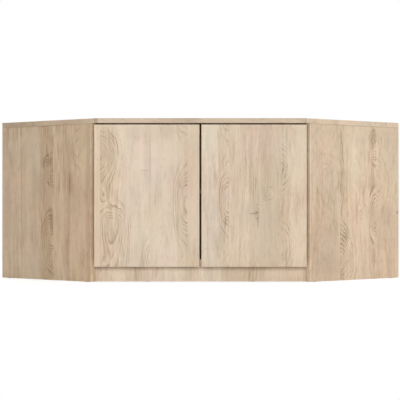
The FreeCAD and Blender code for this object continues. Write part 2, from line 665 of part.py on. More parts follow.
cams, bolts, cam_holes = cam_fasteners()
dowel_pins, dowel_holes = dowels()
nails, nail_holes = back_panel_nails()
glides, glide_holes = floor_glides()
pins, pin_holes = shelf_pins()
plate_screws, plate_screw_holes = hinge_plate_screws()
arm_screws, arm_screw_holes = hinge_arm_screws()
housing_screws, housing_screw_holes = latch_screws()
fittings, left_door_holes = door_fittings()

board_holes = cam_holes + dowel_holes + nail_holes + glide_holes + pin_holes
hinge_holes = both_sides([on_right_side(hole) for hole in at_hinges(plate_screw_holes)])
panel_holes = board_holes + hinge_holes + both_sides(housing_screw_holes)

write("top_panel", [drilled(top_panel(), panel_holes)])
write("bottom_panel", [drilled(bottom_panel(), panel_holes)])
write("rear_corner_panel", [drilled(rear_corner_panel(), panel_holes)])
write("plinth_board", [drilled(plinth_board(), panel_holes)])
write("plinth_brace", [drilled(plinth_brace(), panel_holes)])
write("shelf", [shelf()])

side = drilled(right_side_panel(), panel_holes)
back = drilled(right_back_panel(), panel_holes)
door = drilled(right_door(), [mirrored(hole) for hole in left_door_holes])
write_pair("side_panel", [mirrored(side)], [side])
write_pair("back_panel", [mirrored(back)], [back])
write_pair("door", [mirrored(door)], [door])
for name, shapes in fittings.items():
    write_pair(name, shapes, [mirrored(shape) for shape in shapes])

plate = drilled(hinge_plate(), plate_screw_holes + arm_screw_holes)
arm = drilled(hinge_arm(), arm_screw_holes)
plates = [on_right_side(shape) for shape in at_hinges([plate])]
arms = [on_right_side(shape) for shape in at_hinges([arm])]
write_pair("hinge_plates", [mirrored(shape) for shape in plates], plates)
write_pair("hinge_arms", [mirrored(shape) for shape in arms], arms)
write("hinge_plate_screws", both_sides([on_right_side(shape) for shape in at_hinges(plate_screws)]))
write("hinge_arm_screws", both_sides([on_right_side(shape) for shape in at_hinges(arm_screws)]))

housing = drilled(latch_housing(), housing_screw_holes)
plunger = latch_plunger()
spring = latch_spring()
write_pair("latch_housing", [mirrored(housing)], [housing])
write_pair("latch_plunger", [mirrored(plunger)], [plunger])
write_pair("latch_spring", [mirrored(spring)], [spring])
write("latch_screws", both_sides(housing_screws))

write("cam_locks", cams)
write("cam_bolts", bolts)
write("wooden_dowels", dowel_pins)
write("back_panel_nails", nails)
write("floor_glides", glides)
write("shelf_pins", pins)
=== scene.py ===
import json
import math
from collections import namedtuple
import bpy
import numpy as np
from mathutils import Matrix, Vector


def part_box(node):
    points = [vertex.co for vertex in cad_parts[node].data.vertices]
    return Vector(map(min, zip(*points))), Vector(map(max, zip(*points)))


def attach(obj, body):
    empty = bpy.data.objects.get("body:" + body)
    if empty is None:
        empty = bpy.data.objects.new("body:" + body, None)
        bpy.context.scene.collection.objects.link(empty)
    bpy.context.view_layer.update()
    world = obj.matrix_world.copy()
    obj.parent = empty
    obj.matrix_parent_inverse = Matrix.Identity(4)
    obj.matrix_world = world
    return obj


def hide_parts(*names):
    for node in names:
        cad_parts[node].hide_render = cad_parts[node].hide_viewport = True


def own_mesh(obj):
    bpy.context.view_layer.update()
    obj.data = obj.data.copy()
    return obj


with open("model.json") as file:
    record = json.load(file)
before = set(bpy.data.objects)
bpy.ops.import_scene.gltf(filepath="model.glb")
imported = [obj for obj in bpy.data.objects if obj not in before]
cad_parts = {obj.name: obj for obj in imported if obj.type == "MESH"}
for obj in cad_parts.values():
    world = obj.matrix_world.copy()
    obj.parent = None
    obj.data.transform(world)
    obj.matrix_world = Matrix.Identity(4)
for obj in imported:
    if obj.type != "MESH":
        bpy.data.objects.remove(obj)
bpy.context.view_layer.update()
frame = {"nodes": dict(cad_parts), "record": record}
nodes = frame["nodes"]

# Socket kinds of the node groups
VALUE = "NodeSocketFloat"
COLOUR = "NodeSocketColor"
VECTOR = "NodeSocketVector"

# Pale oak print, as a linear colour
OAK = (0.700, 0.563, 0.408)

# Tints that multiply it
LATE_WOOD = (0.58, 0.495, 0.425, 1.0)
PALE_WOOD = (1.09, 1.10, 1.11, 1.0)
PINK = (1.0, 0.955, 0.985, 1.0)
MAUVE = (0.965, 0.945, 1.0, 1.0)
GREY = (0.92, 0.94, 0.95, 1.0)
GREEN = (0.95, 1.0, 1.02, 1.0)
BROWN = (0.62, 0.555, 0.51, 1.0)
TAN = (0.90, 0.85, 0.79, 1.0)
DARK = (0.36, 0.30, 0.26, 1.0)

# Where nearly all values of a noise lie, and its middle as a colour
NOISE_SPAN = (0.3, 0.7)
NOISE_MIDDLE = (0.5, 0.5, 0.5)

# Turns from object coordinates to across, along and depth on a board
QUARTER = math.pi / 2
EIGHTH = math.pi / 4
UPRIGHT = (-QUARTER, 0.0, 0.0)
UPRIGHT_LEFT_SIDE = (-QUARTER, EIGHTH, 0.0)
UPRIGHT_RIGHT_SIDE = (-QUARTER, -EIGHTH, 0.0)
LYING = (0.0, 0.0, -QUARTER)
IN_PLACE = (0.0, 0.0, 0.0)


class Wiring:
    """Adds nodes to one node tree and joins their sockets."""

    def __init__(self, tree):
        self.tree = tree

    def feed(self, socket, value):
        """Joins the socket to another one, or sets its plain value."""
        if isinstance(value, bpy.types.NodeSocket):
            self.tree.links.new(value, socket)
        else:
            socket.default_value = value

    def node(self, kind, inputs=(), **settings):
        """A new node with its settings, and with its inputs fed by name or by number."""
        made = self.tree.nodes.new(kind)
        for name, value in settings.items():
            setattr(made, name, value)
        for key, value in dict(inputs).items():
            self.feed(made.inputs[key], value)
        return made

    def math(self, operation, *values):
        return self.node("ShaderNodeMath", enumerate(values), operation=operation).outputs[0]

    def times(self, product, *values):
        """The product of several values."""
        for value in values:
            product = self.math("MULTIPLY", product, value)
        return product

    def vector(self, operation, *values):
        return self.node("ShaderNodeVectorMath", enumerate(values), operation=operation).outputs[0]

    def length(self, value):
        return self.node("ShaderNodeVectorMath", {0: value}, operation="LENGTH").outputs["Value"]

    def parts(self, value):
        return self.node("ShaderNodeSeparateXYZ", {0: value}).outputs

    def combine(self, x, y, z):
        return self.node("ShaderNodeCombineXYZ", {0: x, 1: y, 2: z}).outputs[0]

    def noise(self, place, waves, detail=2.0, roughness=0.5, distortion=0.0):
        """Noise with so many waves per metre on each axis, as a value and as a colour."""
        stretched = self.vector("MULTIPLY", place, waves)
        inputs = {"Vector": stretched, "Scale": 1.0, "Detail": detail, "Roughness": roughness,
                  "Distortion": distortion}
        return self.node("ShaderNodeTexNoise", inputs).outputs

    def spread(self, value, low, high, to_low=0.0, to_high=1.0, smooth=False):
        """Carries a value from one range to another and stops at the range's ends."""
        kind = "SMOOTHSTEP" if smooth else "LINEAR"
        inputs = {"Value": value, "From Min": low, "From Max": high, "To Min": to_low, "To Max": to_high}
        return self.node("ShaderNodeMapRange", inputs, interpolation_type=kind).outputs[0]

    def mix(self, factor, first, second, blend="MIX"):
        """One of two colours, by a factor from 0 to 1."""
        inputs = {0: factor, 6: first, 7: second}
        return self.node("ShaderNodeMix", inputs, data_type="RGBA", blend_type=blend).outputs[2]

    def tinted(self, factor, colour, tint):
        """A colour multiplied by a tint, as far as the factor says."""
        return self.mix(factor, colour, tint, blend="MULTIPLY")

    def choose(self, factor, first, second):
        """One of two vectors, by a factor from 0 to 1."""
        inputs = {0: factor, 4: first, 5: second}
        return self.node("ShaderNodeMix", inputs, data_type="VECTOR").outputs[1]

    def between(self, factor, first, second):
        """One of two values, by a factor from 0 to 1."""
        return self.node("ShaderNodeMix", {0: factor, 2: first, 3: second}, data_type="FLOAT").outputs[0]

    def group(self, tree, inputs):
        """The outputs of a node group that is placed with these inputs."""
        made = self.node("ShaderNodeGroup")
        made.node_tree = tree
        for name, value in inputs.items():
            self.feed(made.inputs[name], value)
        return made.outputs


def new_group(name, inputs, outputs):
    """An empty shader node group, with the wiring, its inner inputs and its inner outputs."""
    tree = bpy.data.node_groups.new(name, "ShaderNodeTree")
    for direction, sockets in (("INPUT", inputs), ("OUTPUT", outputs)):
        for socket_name, kind in sockets:
            tree.interface.new_socket(socket_name, in_out=direction, socket_type=kind)
    wiring = Wiring(tree)
    given = wiring.node("NodeGroupInput").outputs
    made = wiring.node("NodeGroupOutput").inputs
    return tree, wiring, given, made


def new_finish(name):
    """A new material with its wiring, its shader and the coordinates that its pattern reads."""
    material = bpy.data.materials.new(name)
    material.use_nodes = True
    wiring = Wiring(material.node_tree)
    coordinates = wiring.node("ShaderNodeTexCoord").outputs
    return material, wiring, material.node_tree.nodes["Principled BSDF"], coordinates


def finish_surface(wiring, shader, colour, roughness, height, bump_depth, bump_strength=0.4):
    """Joins a finished colour, roughness and height to the shader. The bump's depth is in metres."""
    inputs = {"Strength": bump_strength, "Distance": bump_depth, "Height": height}
    bump = wiring.node("ShaderNodeBump", inputs)
    wiring.feed(shader.inputs["Base Color"], colour)
    wiring.feed(shader.inputs["Roughness"], roughness)
    wiring.feed(shader.inputs["Normal"], bump.outputs[0])


def new_object(name, data):
    """A new object that shows the data, linked to the scene."""
    made = bpy.data.objects.new(name, data)
    bpy.context.scene.collection.objects.link(made)
    return made


END_FACING = 0.75           # least share of a normal along the grain on an end face


def board_position_group():
    """Position on a board as across, along and depth. On an end face the three change places in a
    ring, so that the streaks run along the edge band."""
    inputs = [("Position", VECTOR), ("Facing", VECTOR)]
    tree, wiring, given, made = new_group("board_position", inputs, [("Position", VECTOR)])
    across, along, depth = wiring.parts(given["Position"])
    end_share = wiring.math("ABSOLUTE", wiring.parts(given["Facing"])[1])
    is_end = wiring.math("GREATER_THAN", end_share, END_FACING)
    on_end = wiring.combine(depth, across, along)
    wiring.feed(made["Position"], wiring.choose(is_end, given["Position"], on_end))
    return tree


# Slow bend of the fibres: waves per metre, and metres from one side to the other
BEND_WAVES = (9.0, 2.2, 9.0)
BEND_REACH = 0.030

# Fibres: waves per metre across, along and in depth, and the range of the noise that is carried to 0 and 1
Fibre = namedtuple("Fibre", "waves low high smooth detail roughness", defaults=(2.0, 0.5))
FIBRES = {
    "Streak": Fibre((40.0, 3.4, 40.0), *NOISE_SPAN, smooth=False, roughness=0.55),
    "Dash": Fibre((110.0, 12.0, 110.0), 0.52, 0.66, smooth=True),
    "Fine": Fibre((240.0, 15.0, 240.0), *NOISE_SPAN, smooth=False),
    "Pore": Fibre((800.0, 42.0, 800.0), 0.60, 0.72, smooth=True, detail=1.0),
    "Curl": Fibre((80.0, 44.0, 80.0), 0.46, 0.70, smooth=True, roughness=0.6),
}


def oak_fibres_group():
    """Long fibres: noise stretched along the grain at several widths, on a position whose across value
    is bent by slow noise. Pores are the peaks of a finer noise, curl is a shorter and rounder one."""
    outputs = [(name, VALUE) for name in FIBRES]
    tree, wiring, given, made = new_group("oak_fibres", [("Position", VECTOR)], outputs)
    slow = wiring.noise(given["Position"], BEND_WAVES)["Fac"]
    bend = wiring.math("MULTIPLY_ADD", slow, BEND_REACH, -BEND_REACH / 2)
    bent = wiring.vector("ADD", given["Position"], wiring.combine(bend, 0.0, 0.0))
    for name, fibre in FIBRES.items():
        noise = wiring.noise(bent, fibre.waves, fibre.detail, fibre.roughness)["Fac"]
        wiring.feed(made[name], wiring.spread(noise, fibre.low, fibre.high, smooth=fibre.smooth))
    return tree


# Drift: one slow noise that is read at places far apart, in metres across
DRIFT_WAVES = (10.0, 5.0, 10.0)
DRIFT_RANGE = (0.36, 0.66)
DRIFT_SHIFTS = {"Pink": 0.0, "Green": 7.3, "Grainy": 3.1}


def oak_drift_group():
    """Slow drift of hue and graininess over a board, from low noises stretched along the grain."""
    outputs = [(name, VALUE) for name in DRIFT_SHIFTS]
    tree, wiring, given, made = new_group("oak_drift", [("Position", VECTOR)], outputs)
    for name, shift in DRIFT_SHIFTS.items():
        moved = wiring.vector("ADD", given["Position"], (shift, 0.0, 0.0))
        cloud = wiring.noise(moved, DRIFT_WAVES)["Fac"]
        wiring.feed(made[name], wiring.spread(cloud, *DRIFT_RANGE, smooth=True))
    return tree


# Stirs of the figure: waves per metre of a noise, and the metres that it pushes across, along and in depth
Stir = namedtuple("Stir", "waves reach")
SLOW_STIR = Stir((24.0, 9.0, 24.0), (0.012, 0.030, 0.0))
QUICK_STIR = Stir((95.0, 34.0, 95.0), (0.005, 0.012, 0.0))
WEAR_WAVES = (55.0, 16.0, 55.0)
WEAR_RANGE = (0.36, 0.62, 0.25, 1.0)


def figure_stir_group():
    """How the figure wanders: a slow and a quick noise added into one push of the position, and a noise
    that wears its lines away."""
    outputs = [("Position", VECTOR), ("Wear", VALUE)]
    tree, wiring, given, made = new_group("figure_stir", [("Position", VECTOR)], outputs)
    stirred = given["Position"]
    for stir in (SLOW_STIR, QUICK_STIR):
        cloud = wiring.noise(given["Position"], stir.waves, detail=1.0)["Color"]
        centred = wiring.vector("SUBTRACT", cloud, NOISE_MIDDLE)
        stirred = wiring.vector("ADD", stirred, wiring.vector("MULTIPLY", centred, stir.reach))
    wiring.feed(made["Position"], stirred)
    wear = wiring.noise(given["Position"], WEAR_WAVES)["Fac"]
    wiring.feed(made["Wear"], wiring.spread(wear, *WEAR_RANGE, smooth=True))
    return tree


FIGURE_INPUTS = [("Position", VECTOR), ("Centre", VECTOR), ("Radii", VECTOR)]


def figure_offset(wiring, given):
    """Offset of a position from a figure's centre, in radii."""
    offset = wiring.vector("SUBTRACT", given["Position"], given["Centre"])
    return wiring.vector("DIVIDE", offset, given["Radii"])


# The lines of a swell fade from one distance to another, in radii, and from 1 to 0
SWELL_FADE = (1.1, 1.9, 1.0, 0.0)


def grain_swell_group():
    """A swelling of the grain: a bell curve of the distance from its centre, in rings, which the rings of
    the stave run round. A shoulder above one flattens their tops, and distances below the centre count by
    the tail share. The swelling ends at the edges of its stave, and the mask shows where it shapes the
    grain."""
    numbers = ("Across", "Shoulder", "Tail", "Lift", "Low Edge", "High Edge", "Strength")
    inputs = FIGURE_INPUTS + [(name, VALUE) for name in numbers]
    tree, wiring, given, made = new_group("grain_swell", inputs, [("Lift", VALUE), ("Mask", VALUE)])
    sideways, upward, _ = wiring.parts(figure_offset(wiring, given))
    shouldered = wiring.math("POWER", wiring.math("ABSOLUTE", sideways), given["Shoulder"])
    below = wiring.times(upward, -1.0, given["Tail"])
    lengthwise = wiring.math("MAXIMUM", upward, below)
    distance = wiring.length(wiring.combine(shouldered, lengthwise, 0.0))
    bell = wiring.math("EXPONENT", wiring.times(distance, distance, -1.0))
    after_low = wiring.math("GREATER_THAN", given["Across"], given["Low Edge"])
    before_high = wiring.math("LESS_THAN", given["Across"], given["High Edge"])
    inside = wiring.times(after_low, before_high)
    wiring.feed(made["Lift"], wiring.times(bell, given["Lift"], inside))
    near = wiring.spread(distance, *SWELL_FADE, smooth=True)
    wiring.feed(made["Mask"], wiring.times(near, given["Strength"], inside))
    return tree


# Uneven pitch of the rings: waves per ring of a noise, and the rings that it moves them by
PITCH_WAVES = (0.45, 1.0, 1.0)
PITCH_WANDER = 2.0

# Parts of one ring: its start and end as shares of the ring, then the shade at each
SLOW_SHADE = (0.0, 0.9, 0.0, 0.35)
QUICK_SHADE = (0.50, 0.80, 0.0, 0.65)
SHADE_END = (0.87, 1.0, 1.0, 0.0)
PALE_LINE = (0.0, 0.25, 0.6, 0.0)


def ring_lines_group():
    """Growth rings as contour lines of the grain field: a saw wave of uneven pitch that darkens slowly, then
    quickly, and breaks off to a pale line."""
    inputs = [("Field", VALUE), ("Share", VALUE)]
    tree, wiring, given, made = new_group("ring_lines", inputs, [("Lines", VALUE), ("Glints", VALUE)])
    place = wiring.combine(given["Field"], 0.0, 0.0)
    pitch = wiring.noise(place, PITCH_WAVES, detail=0.0)["Fac"]
    phase = wiring.math("FRACT", wiring.math("MULTIPLY_ADD", pitch, PITCH_WANDER, given["Field"]))
    slow = wiring.spread(phase, *SLOW_SHADE)
    quick = wiring.spread(phase, *QUICK_SHADE, smooth=True)
    fall = wiring.spread(phase, *SHADE_END, smooth=True)
    glint = wiring.spread(phase, *PALE_LINE, smooth=True)
    wiring.feed(made["Lines"], wiring.times(wiring.math("ADD", slow, quick), fall, given["Share"]))
    wiring.feed(made["Glints"], wiring.times(glint, given["Share"]))
    return tree


# A patch fades from one distance to another, in radii, and from 1 to 0
PATCH_FADE = (0.3, 1.15, 1.0, 0.0)


def soft_patch_group():
    """An elliptical patch that is full in the middle and fades towards its radii."""
    tree, wiring, given, made = new_group("soft_patch", FIGURE_INPUTS, [("Mask", VALUE)])
    offset = wiring.vector("MULTIPLY", figure_offset(wiring, given), (1.0, 1.0, 0.0))
    wiring.feed(made["Mask"], wiring.spread(wiring.length(offset), *PATCH_FADE, smooth=True))
    return tree


# Shares of the oak print's tints, and ranges that a mask from 0 to 1 is carried to
DRIFT_SHARE = 0.8
PORE_SHARE = 0.4
FIBRE_SHARES = {"Streak": 0.12, "Dash": 0.17, "Fine": 0.20}
GRAININESS = (0.3, 1.8)
OAK_ROUGHNESS = (0.47, 0.60)

# Heights of the print's skin, as shares of its bump
LINE_DEPTH = 0.5
FIBRE_HEIGHT = 0.4


def oak_finish_group():
    """The oak print: the stave's colour, drifted in hue, darkened along fibres and figure lines and in
    the pores, with a height that sinks in the pores and lines."""
    numbers = ("Lines", "Glints", "Contrast", "Curl")
    inputs = [("Position", VECTOR), ("Stave", COLOUR)] + [(name, VALUE) for name in numbers]
    outputs = [("Colour", COLOUR), ("Roughness", VALUE), ("Height", VALUE)]
    tree, wiring, given, made = new_group("oak_finish", inputs, outputs)
    fibres = wiring.group(fibres_tree, {"Position": given["Position"]})
    drift = wiring.group(drift_tree, {"Position": given["Position"]})
    colour = wiring.tinted(wiring.times(drift["Pink"], DRIFT_SHARE), given["Stave"], PINK)
    colour = wiring.tinted(wiring.times(drift["Green"], DRIFT_SHARE), colour, GREEN)
    grain = wiring.times(wiring.spread(drift["Grainy"], 0.0, 1.0, *GRAININESS), given["Contrast"])
    for name, share in FIBRE_SHARES.items():
        colour = wiring.tinted(wiring.times(fibres[name], share, grain), colour, LATE_WOOD)
    colour = wiring.tinted(wiring.times(fibres["Curl"], given["Curl"]), colour, LATE_WOOD)
    colour = wiring.tinted(given["Lines"], colour, LATE_WOOD)
    colour = wiring.tinted(given["Glints"], colour, PALE_WOOD)
    colour = wiring.tinted(wiring.times(fibres["Pore"], PORE_SHARE), colour, BROWN)
    wiring.feed(made["Colour"], colour)
    wiring.feed(made["Roughness"], wiring.spread(fibres["Streak"], 0.0, 1.0, *OAK_ROUGHNESS))
    sunk = wiring.math("MAXIMUM", fibres["Pore"], wiring.times(given["Lines"], LINE_DEPTH))
    raised = wiring.times(fibres["Fine"], FIBRE_HEIGHT)
    wiring.feed(made["Height"], wiring.math("SUBTRACT", raised, sunk))
    return tree


position_tree = board_position_group()
fibres_tree = oak_fibres_group()
drift_tree = oak_drift_group()
stir_tree = figure_stir_group()
swell_tree = grain_swell_group()
lines_tree = ring_lines_group()
patch_tree = soft_patch_group()
finish_tree = oak_finish_group()

# What a board's print is made of. Places and radii are metres across and along the board. A swell's lift is
# in rings: a positive one bends them to lower places across, a negative one to higher places.
Stave = namedtuple("Stave", "far_edge tone warmth grain", defaults=(1.0,))
Swell = namedtuple("Swell", "centre radii lift edges strength shoulder tail", defaults=(1.0, 1.0))
Patch = namedtuple("Patch", "centre radii tint strength")

# How far one step of warmth raises red and lowers blue
WARM_RED = 0.04
WARM_BLUE = 0.06

STAVE_JOINT = 0.0012        # metres over which one stave's colour goes over to the next
RINGS_PER_METRE = 25.0      # away from any swell
PLAIN_RINGS = 0.05          # how strongly the rings show there
OAK_BUMP_DEPTH = 0.0002
OAK_BUMP_STRENGTH = 0.3


def stave_colour(stave):
    """The oak colour at a stave's tone, moved towards red for a positive warmth, with the strength of its
    grain in the fourth channel."""
    red, green, blue = (stave.tone * channel for channel in OAK)
    return red * (1.0 + WARM_RED * stave.warmth), green, blue * (1.0 - WARM_BLUE * stave.warmth), stave.grain


def stave_ramp(wiring, across, first_edge, staves):
    """Colour and grain strength in bands side by side across a board, each up to its far edge."""
    width = staves[-1].far_edge - first_edge
    share = wiring.spread(across, first_edge, staves[-1].far_edge)
    ramp = wiring.node("ShaderNodeValToRGB", {0: share})
    bands = ramp.color_ramp
    start = 0.0
    stops = []
    for stave in staves:
        end = (stave.far_edge - first_edge) / width
        stops.append((start, stave_colour(stave)))
        stops.append((max(end - STAVE_JOINT / width, start), stave_colour(stave)))
        start = end
    while len(bands.elements) < len(stops):
        bands.elements.new(1.0)
    for element, (place, colour) in zip(bands.elements, stops):
        element.position = place
        element.color = colour
    return ramp.outputs["Color"], ramp.outputs["Alpha"]


def board_place(wiring, coordinates, turn, shift):
    """Position on a board: object coordinates, turned and shifted to across, along and depth."""
    inputs = {"Vector": coordinates["Object"], "Rotation": turn, "Location": shift}
    place = wiring.node("ShaderNodeMapping", inputs)
    inputs = {"Vector": coordinates["Normal"], "Rotation": turn}
    facing = wiring.node("ShaderNodeMapping", inputs, vector_type="VECTOR")
    inputs = {"Position": place.outputs[0], "Facing": facing.outputs[0]}
    return wiring.group(position_tree, inputs)["Position"]


def grain_rings(wiring, position, swells):
    """Ring lines and pale lines of a board: contours of a steady rise across it plus its swells."""
    stir = wiring.group(stir_tree, {"Position": position})
    across = wiring.parts(position)[0]
    field = wiring.times(wiring.parts(stir["Position"])[0], RINGS_PER_METRE)
    share = PLAIN_RINGS
    for swell in swells:
        made = wiring.group(swell_tree, {
            "Position": stir["Position"], "Across": across, "Centre": (*swell.centre, 0.0),
            "Radii": (*swell.radii, 1.0), "Shoulder": swell.shoulder, "Tail": swell.tail, "Lift": swell.lift,
            "Low Edge": swell.edges[0], "High Edge": swell.edges[1], "Strength": swell.strength})
        field = wiring.math("ADD", field, made["Lift"])
        share = wiring.math("MAXIMUM", share, made["Mask"])
    return wiring.group(lines_tree, {"Field": field, "Share": wiring.times(share, stir["Wear"])})


def patched(wiring, position, colour, patches):
    """A board's colour with its soft patches of tint."""
    for patch in patches:
        inputs = {"Position": position, "Centre": (*patch.centre, 0.0), "Radii": (*patch.radii, 1.0)}
        mask = wiring.group(patch_tree, inputs)["Mask"]
        colour = wiring.tinted(wiring.times(mask, patch.strength), colour, patch.tint)
    return colour


def oak_board(name, turn, staves, swells=(), patches=(), *, first_edge, contrast, curl=0.10, shift=IN_PLACE):
    """Oak-print material of one board. The turn and shift carry object coordinates to across, along and
    depth, in which the staves, from their first edge on, the swells and the patches have their places.
    Contrast is the strength of the fibres, and curl that of the short rounder ones."""
    material, wiring, shader, coordinates = new_finish(name)
    position = board_place(wiring, coordinates, turn, shift)
    rings = grain_rings(wiring, position, swells)
    colour, grain = stave_ramp(wiring, wiring.parts(position)[0], first_edge, staves)
    finish = wiring.group(finish_tree, {
        "Position": position, "Stave": patched(wiring, position, colour, patches), "Lines": rings["Lines"],
        "Glints": rings["Glints"], "Contrast": wiring.times(grain, contrast),
        "Curl": wiring.times(grain, curl)})
    finish_surface(wiring, shader, finish["Colour"], finish["Roughness"], finish["Height"], OAK_BUMP_DEPTH,
                   OAK_BUMP_STRENGTH)
    return material


# Radius of a strip that runs the whole length of a board, and the middle heights of doors and side panels
WHOLE_LENGTH = 2.0
DOOR_MIDDLE = 0.277
SIDE_MIDDLE = 0.26

# Painted shade on the edge of each door at the gap between them
MEETING_EDGE_SHADE = Patch((0.0, DOOR_MIDDLE), (0.005, WHOLE_LENGTH), DARK, 0.95)


def left_door_oak():
    """Left door: arched figures stand out from the joint near the hinges, the middle is plain, and half
    figures lean on the joint near the meeting edge."""
    hinge_joint = -0.3208
    middle_joint = -0.160
    meeting_joint = -0.0415
    by_hinges = (hinge_joint, -0.235)
    by_meeting = (-0.090, meeting_joint)
    staves = [
        Stave(hinge_joint, 1.025, 0.2, 0.35), Stave(-0.245, 1.07, -0.2),
        Stave(middle_joint, 1.025, -0.5, 0.75), Stave(-0.074, 1.015, -0.6, 0.8),
        Stave(meeting_joint, 0.92, 0.3), Stave(0.0, 0.895, 0.5, 0.8),
    ]
    swells = [
        Swell((hinge_joint, 0.415), (0.046, 0.054), -7.5, by_hinges, 0.85, tail=0.6),
        Swell((-0.308, 0.2825), (0.012, 0.020), -1.6, by_hinges, 0.9, shoulder=1.5),
        Swell((-0.275, 0.195), (0.040, 0.046), -5.4, (hinge_joint, -0.215), 0.85, shoulder=1.3, tail=0.22),
        Swell((-0.335, 0.010), (0.040, 0.050), -5.0, by_hinges, 0.85),
        Swell((middle_joint, 0.080), (0.022, 0.040), 2.5, (-0.210, middle_joint), 0.6),
        Swell((meeting_joint, 0.250), (0.034, 0.092), 6.5, by_meeting, 0.9, shoulder=1.35),
        Swell((meeting_joint, 0.540), (0.030, 0.060), 4.0, by_meeting, 0.7, shoulder=1.8),
    ]
    patches = [
        # Painted shade on the meeting edge, then stained joints
        MEETING_EDGE_SHADE,
        Patch((-0.3155, 0.270), (0.006, 0.420), BROWN, 0.14),
        Patch((-0.1608, 0.390), (0.0016, 0.125), BROWN, 0.8),
        Patch((-0.176, 0.358), (0.018, 0.0016), BROWN, 0.6),
        # Darker streaks
        Patch((-0.299, 0.475), (0.022, 0.028), BROWN, 0.3),
        Patch((-0.284, 0.243), (0.024, 0.008), BROWN, 0.45),
        Patch((-0.171, 0.400), (0.014, 0.120), BROWN, 0.24),
        Patch((-0.045, 0.430), (0.012, 0.070), BROWN, 0.2),
        Patch((-0.108, 0.484), (0.026, 0.032), BROWN, 0.12),
        # Paler streaks
        Patch((-0.178, 0.200), (0.020, 0.080), PALE_WOOD, 0.7),
        Patch((-0.080, 0.240), (0.014, 0.060), PALE_WOOD, 0.7),
        Patch((-0.0235, 0.064), (0.016, 0.030), PALE_WOOD, 0.9),
        # Clouds of another hue
        Patch((-0.310, 0.270), (0.058, 0.420), TAN, 0.6),
        Patch((-0.160, 0.480), (0.110, 0.045), TAN, 0.6),
        Patch((-0.171, 0.420), (0.016, 0.120), GREY, 0.4),
        Patch((-0.174, 0.322), (0.016, 0.036), GREY, 0.7),
        Patch((-0.155, 0.345), (0.060, 0.110), GREEN, 0.5),
        Patch((-0.190, 0.150), (0.030, 0.050), GREEN, 0.6),
        Patch((-0.205, 0.478), (0.034, 0.030), MAUVE, 0.8),
        Patch((-0.036, 0.300), (0.018, 0.050), MAUVE, 0.9),
        Patch((-0.108, 0.484), (0.032, 0.036), PINK, 1.0),
        Patch((-0.107, 0.068), (0.030, 0.030), PINK, 0.9),
    ]
    return oak_board("left_door_oak", UPRIGHT, staves, swells, patches, first_edge=-0.340, contrast=1.1)


def right_door_oak():
    """Right door: half figures in a narrow stave near the meeting edge, a knot with a bark line in the
    middle, and figures that stand out from the joint near the hinges."""
    figure_start = 0.0580
    figure_end = 0.0904
    knot_start = 0.156
    knot_end = 0.1894
    hinge_joint = 0.259
    figure_stave = (figure_start, figure_end)
    by_hinges = (hinge_joint, 0.305)
    staves = [
        Stave(figure_start, 0.99, -0.5), Stave(figure_end, 0.985, 0.0),
        Stave(knot_start, 0.97, 0.0, 0.8), Stave(knot_end, 0.895, 0.4, 0.85),
        Stave(hinge_joint, 0.84, 0.55, 0.75), Stave(0.292, 0.90, 0.5), Stave(0.345, 0.975, 0.1),
    ]
    swells = [
        Swell((figure_end, 0.265), (0.034, 0.092), 6.5, figure_stave, 0.9, shoulder=1.35),
        Swell((figure_end, 0.540), (0.030, 0.070), 5.0, figure_stave, 0.8, shoulder=1.8),
        Swell((figure_end, 0.030), (0.026, 0.050), 3.0, figure_stave, 0.7, shoulder=1.5),
        Swell((0.181, 0.226), (0.010, 0.016), 3.0, (knot_start, knot_end), 1.0),
        Swell((0.213, 0.280), (0.014, 0.017), 2.0, (knot_end, hinge_joint), 0.6),
        Swell((hinge_joint, 0.365), (0.024, 0.048), -6.0, by_hinges, 0.85, shoulder=1.3),
        Swell((hinge_joint, 0.110), (0.028, 0.065), -5.0, by_hinges, 0.9, shoulder=1.3),
    ]
    patches = [
        # Painted shade on the meeting edge, then stained joints
        MEETING_EDGE_SHADE,
        Patch((0.2632, DOOR_MIDDLE), (0.0036, WHOLE_LENGTH), BROWN, 0.14),
        # Knot, its bark line and the streaks that run from it
        Patch((0.180, 0.224), (0.006, 0.005), DARK, 0.6),
        Patch((0.170, 0.2205), (0.017, 0.003), DARK, 0.5),
        Patch((0.184, 0.196), (0.0034, 0.024), BROWN, 0.7),
        Patch((0.169, 0.305), (0.0016, 0.062), BROWN, 0.5),
        Patch((0.1765, 0.310), (0.0014, 0.060), BROWN, 0.5),
        Patch((0.184, 0.305), (0.0018, 0.066), BROWN, 0.6),
        Patch((0.180, 0.250), (0.014, 0.070), BROWN, 0.25),
        # Darker streaks
        Patch((0.0235, 0.450), (0.010, 0.060), BROWN, 0.2),
        Patch((0.077, 0.380), (0.010, 0.040), BROWN, 0.2),
        Patch((0.0812, 0.199), (0.0045, 0.017), BROWN, 0.6),
        Patch((0.142, 0.210), (0.020, 0.060), BROWN, 0.2),
        Patch((0.2755, 0.466), (0.0025, 0.040), BROWN, 0.6),
        Patch((0.2737, 0.084), (0.0035, 0.030), BROWN, 0.6),
        # Paler streaks
        Patch((0.149, 0.430), (0.014, 0.060), PALE_WOOD, 0.7),
        Patch((0.287, DOOR_MIDDLE), (0.010, WHOLE_LENGTH), PALE_WOOD, 0.7),
        # Clouds of another hue
        Patch((0.050, 0.160), (0.045, 0.110), GREEN, 0.9),
        Patch((0.028, 0.370), (0.032, 0.210), GREEN, 0.5),
        Patch((0.0794, 0.280), (0.016, 0.024), MAUVE, 1.0),
        Patch((0.127, 0.418), (0.030, 0.040), MAUVE, 0.5),
        Patch((0.180, 0.440), (0.080, 0.090), MAUVE, 0.6),
        Patch((0.183, 0.160), (0.050, 0.090), PINK, 0.9),
    ]
    return oak_board("right_door_oak", UPRIGHT, staves, swells, patches, first_edge=0.0, contrast=1.1,
                     curl=0.14)


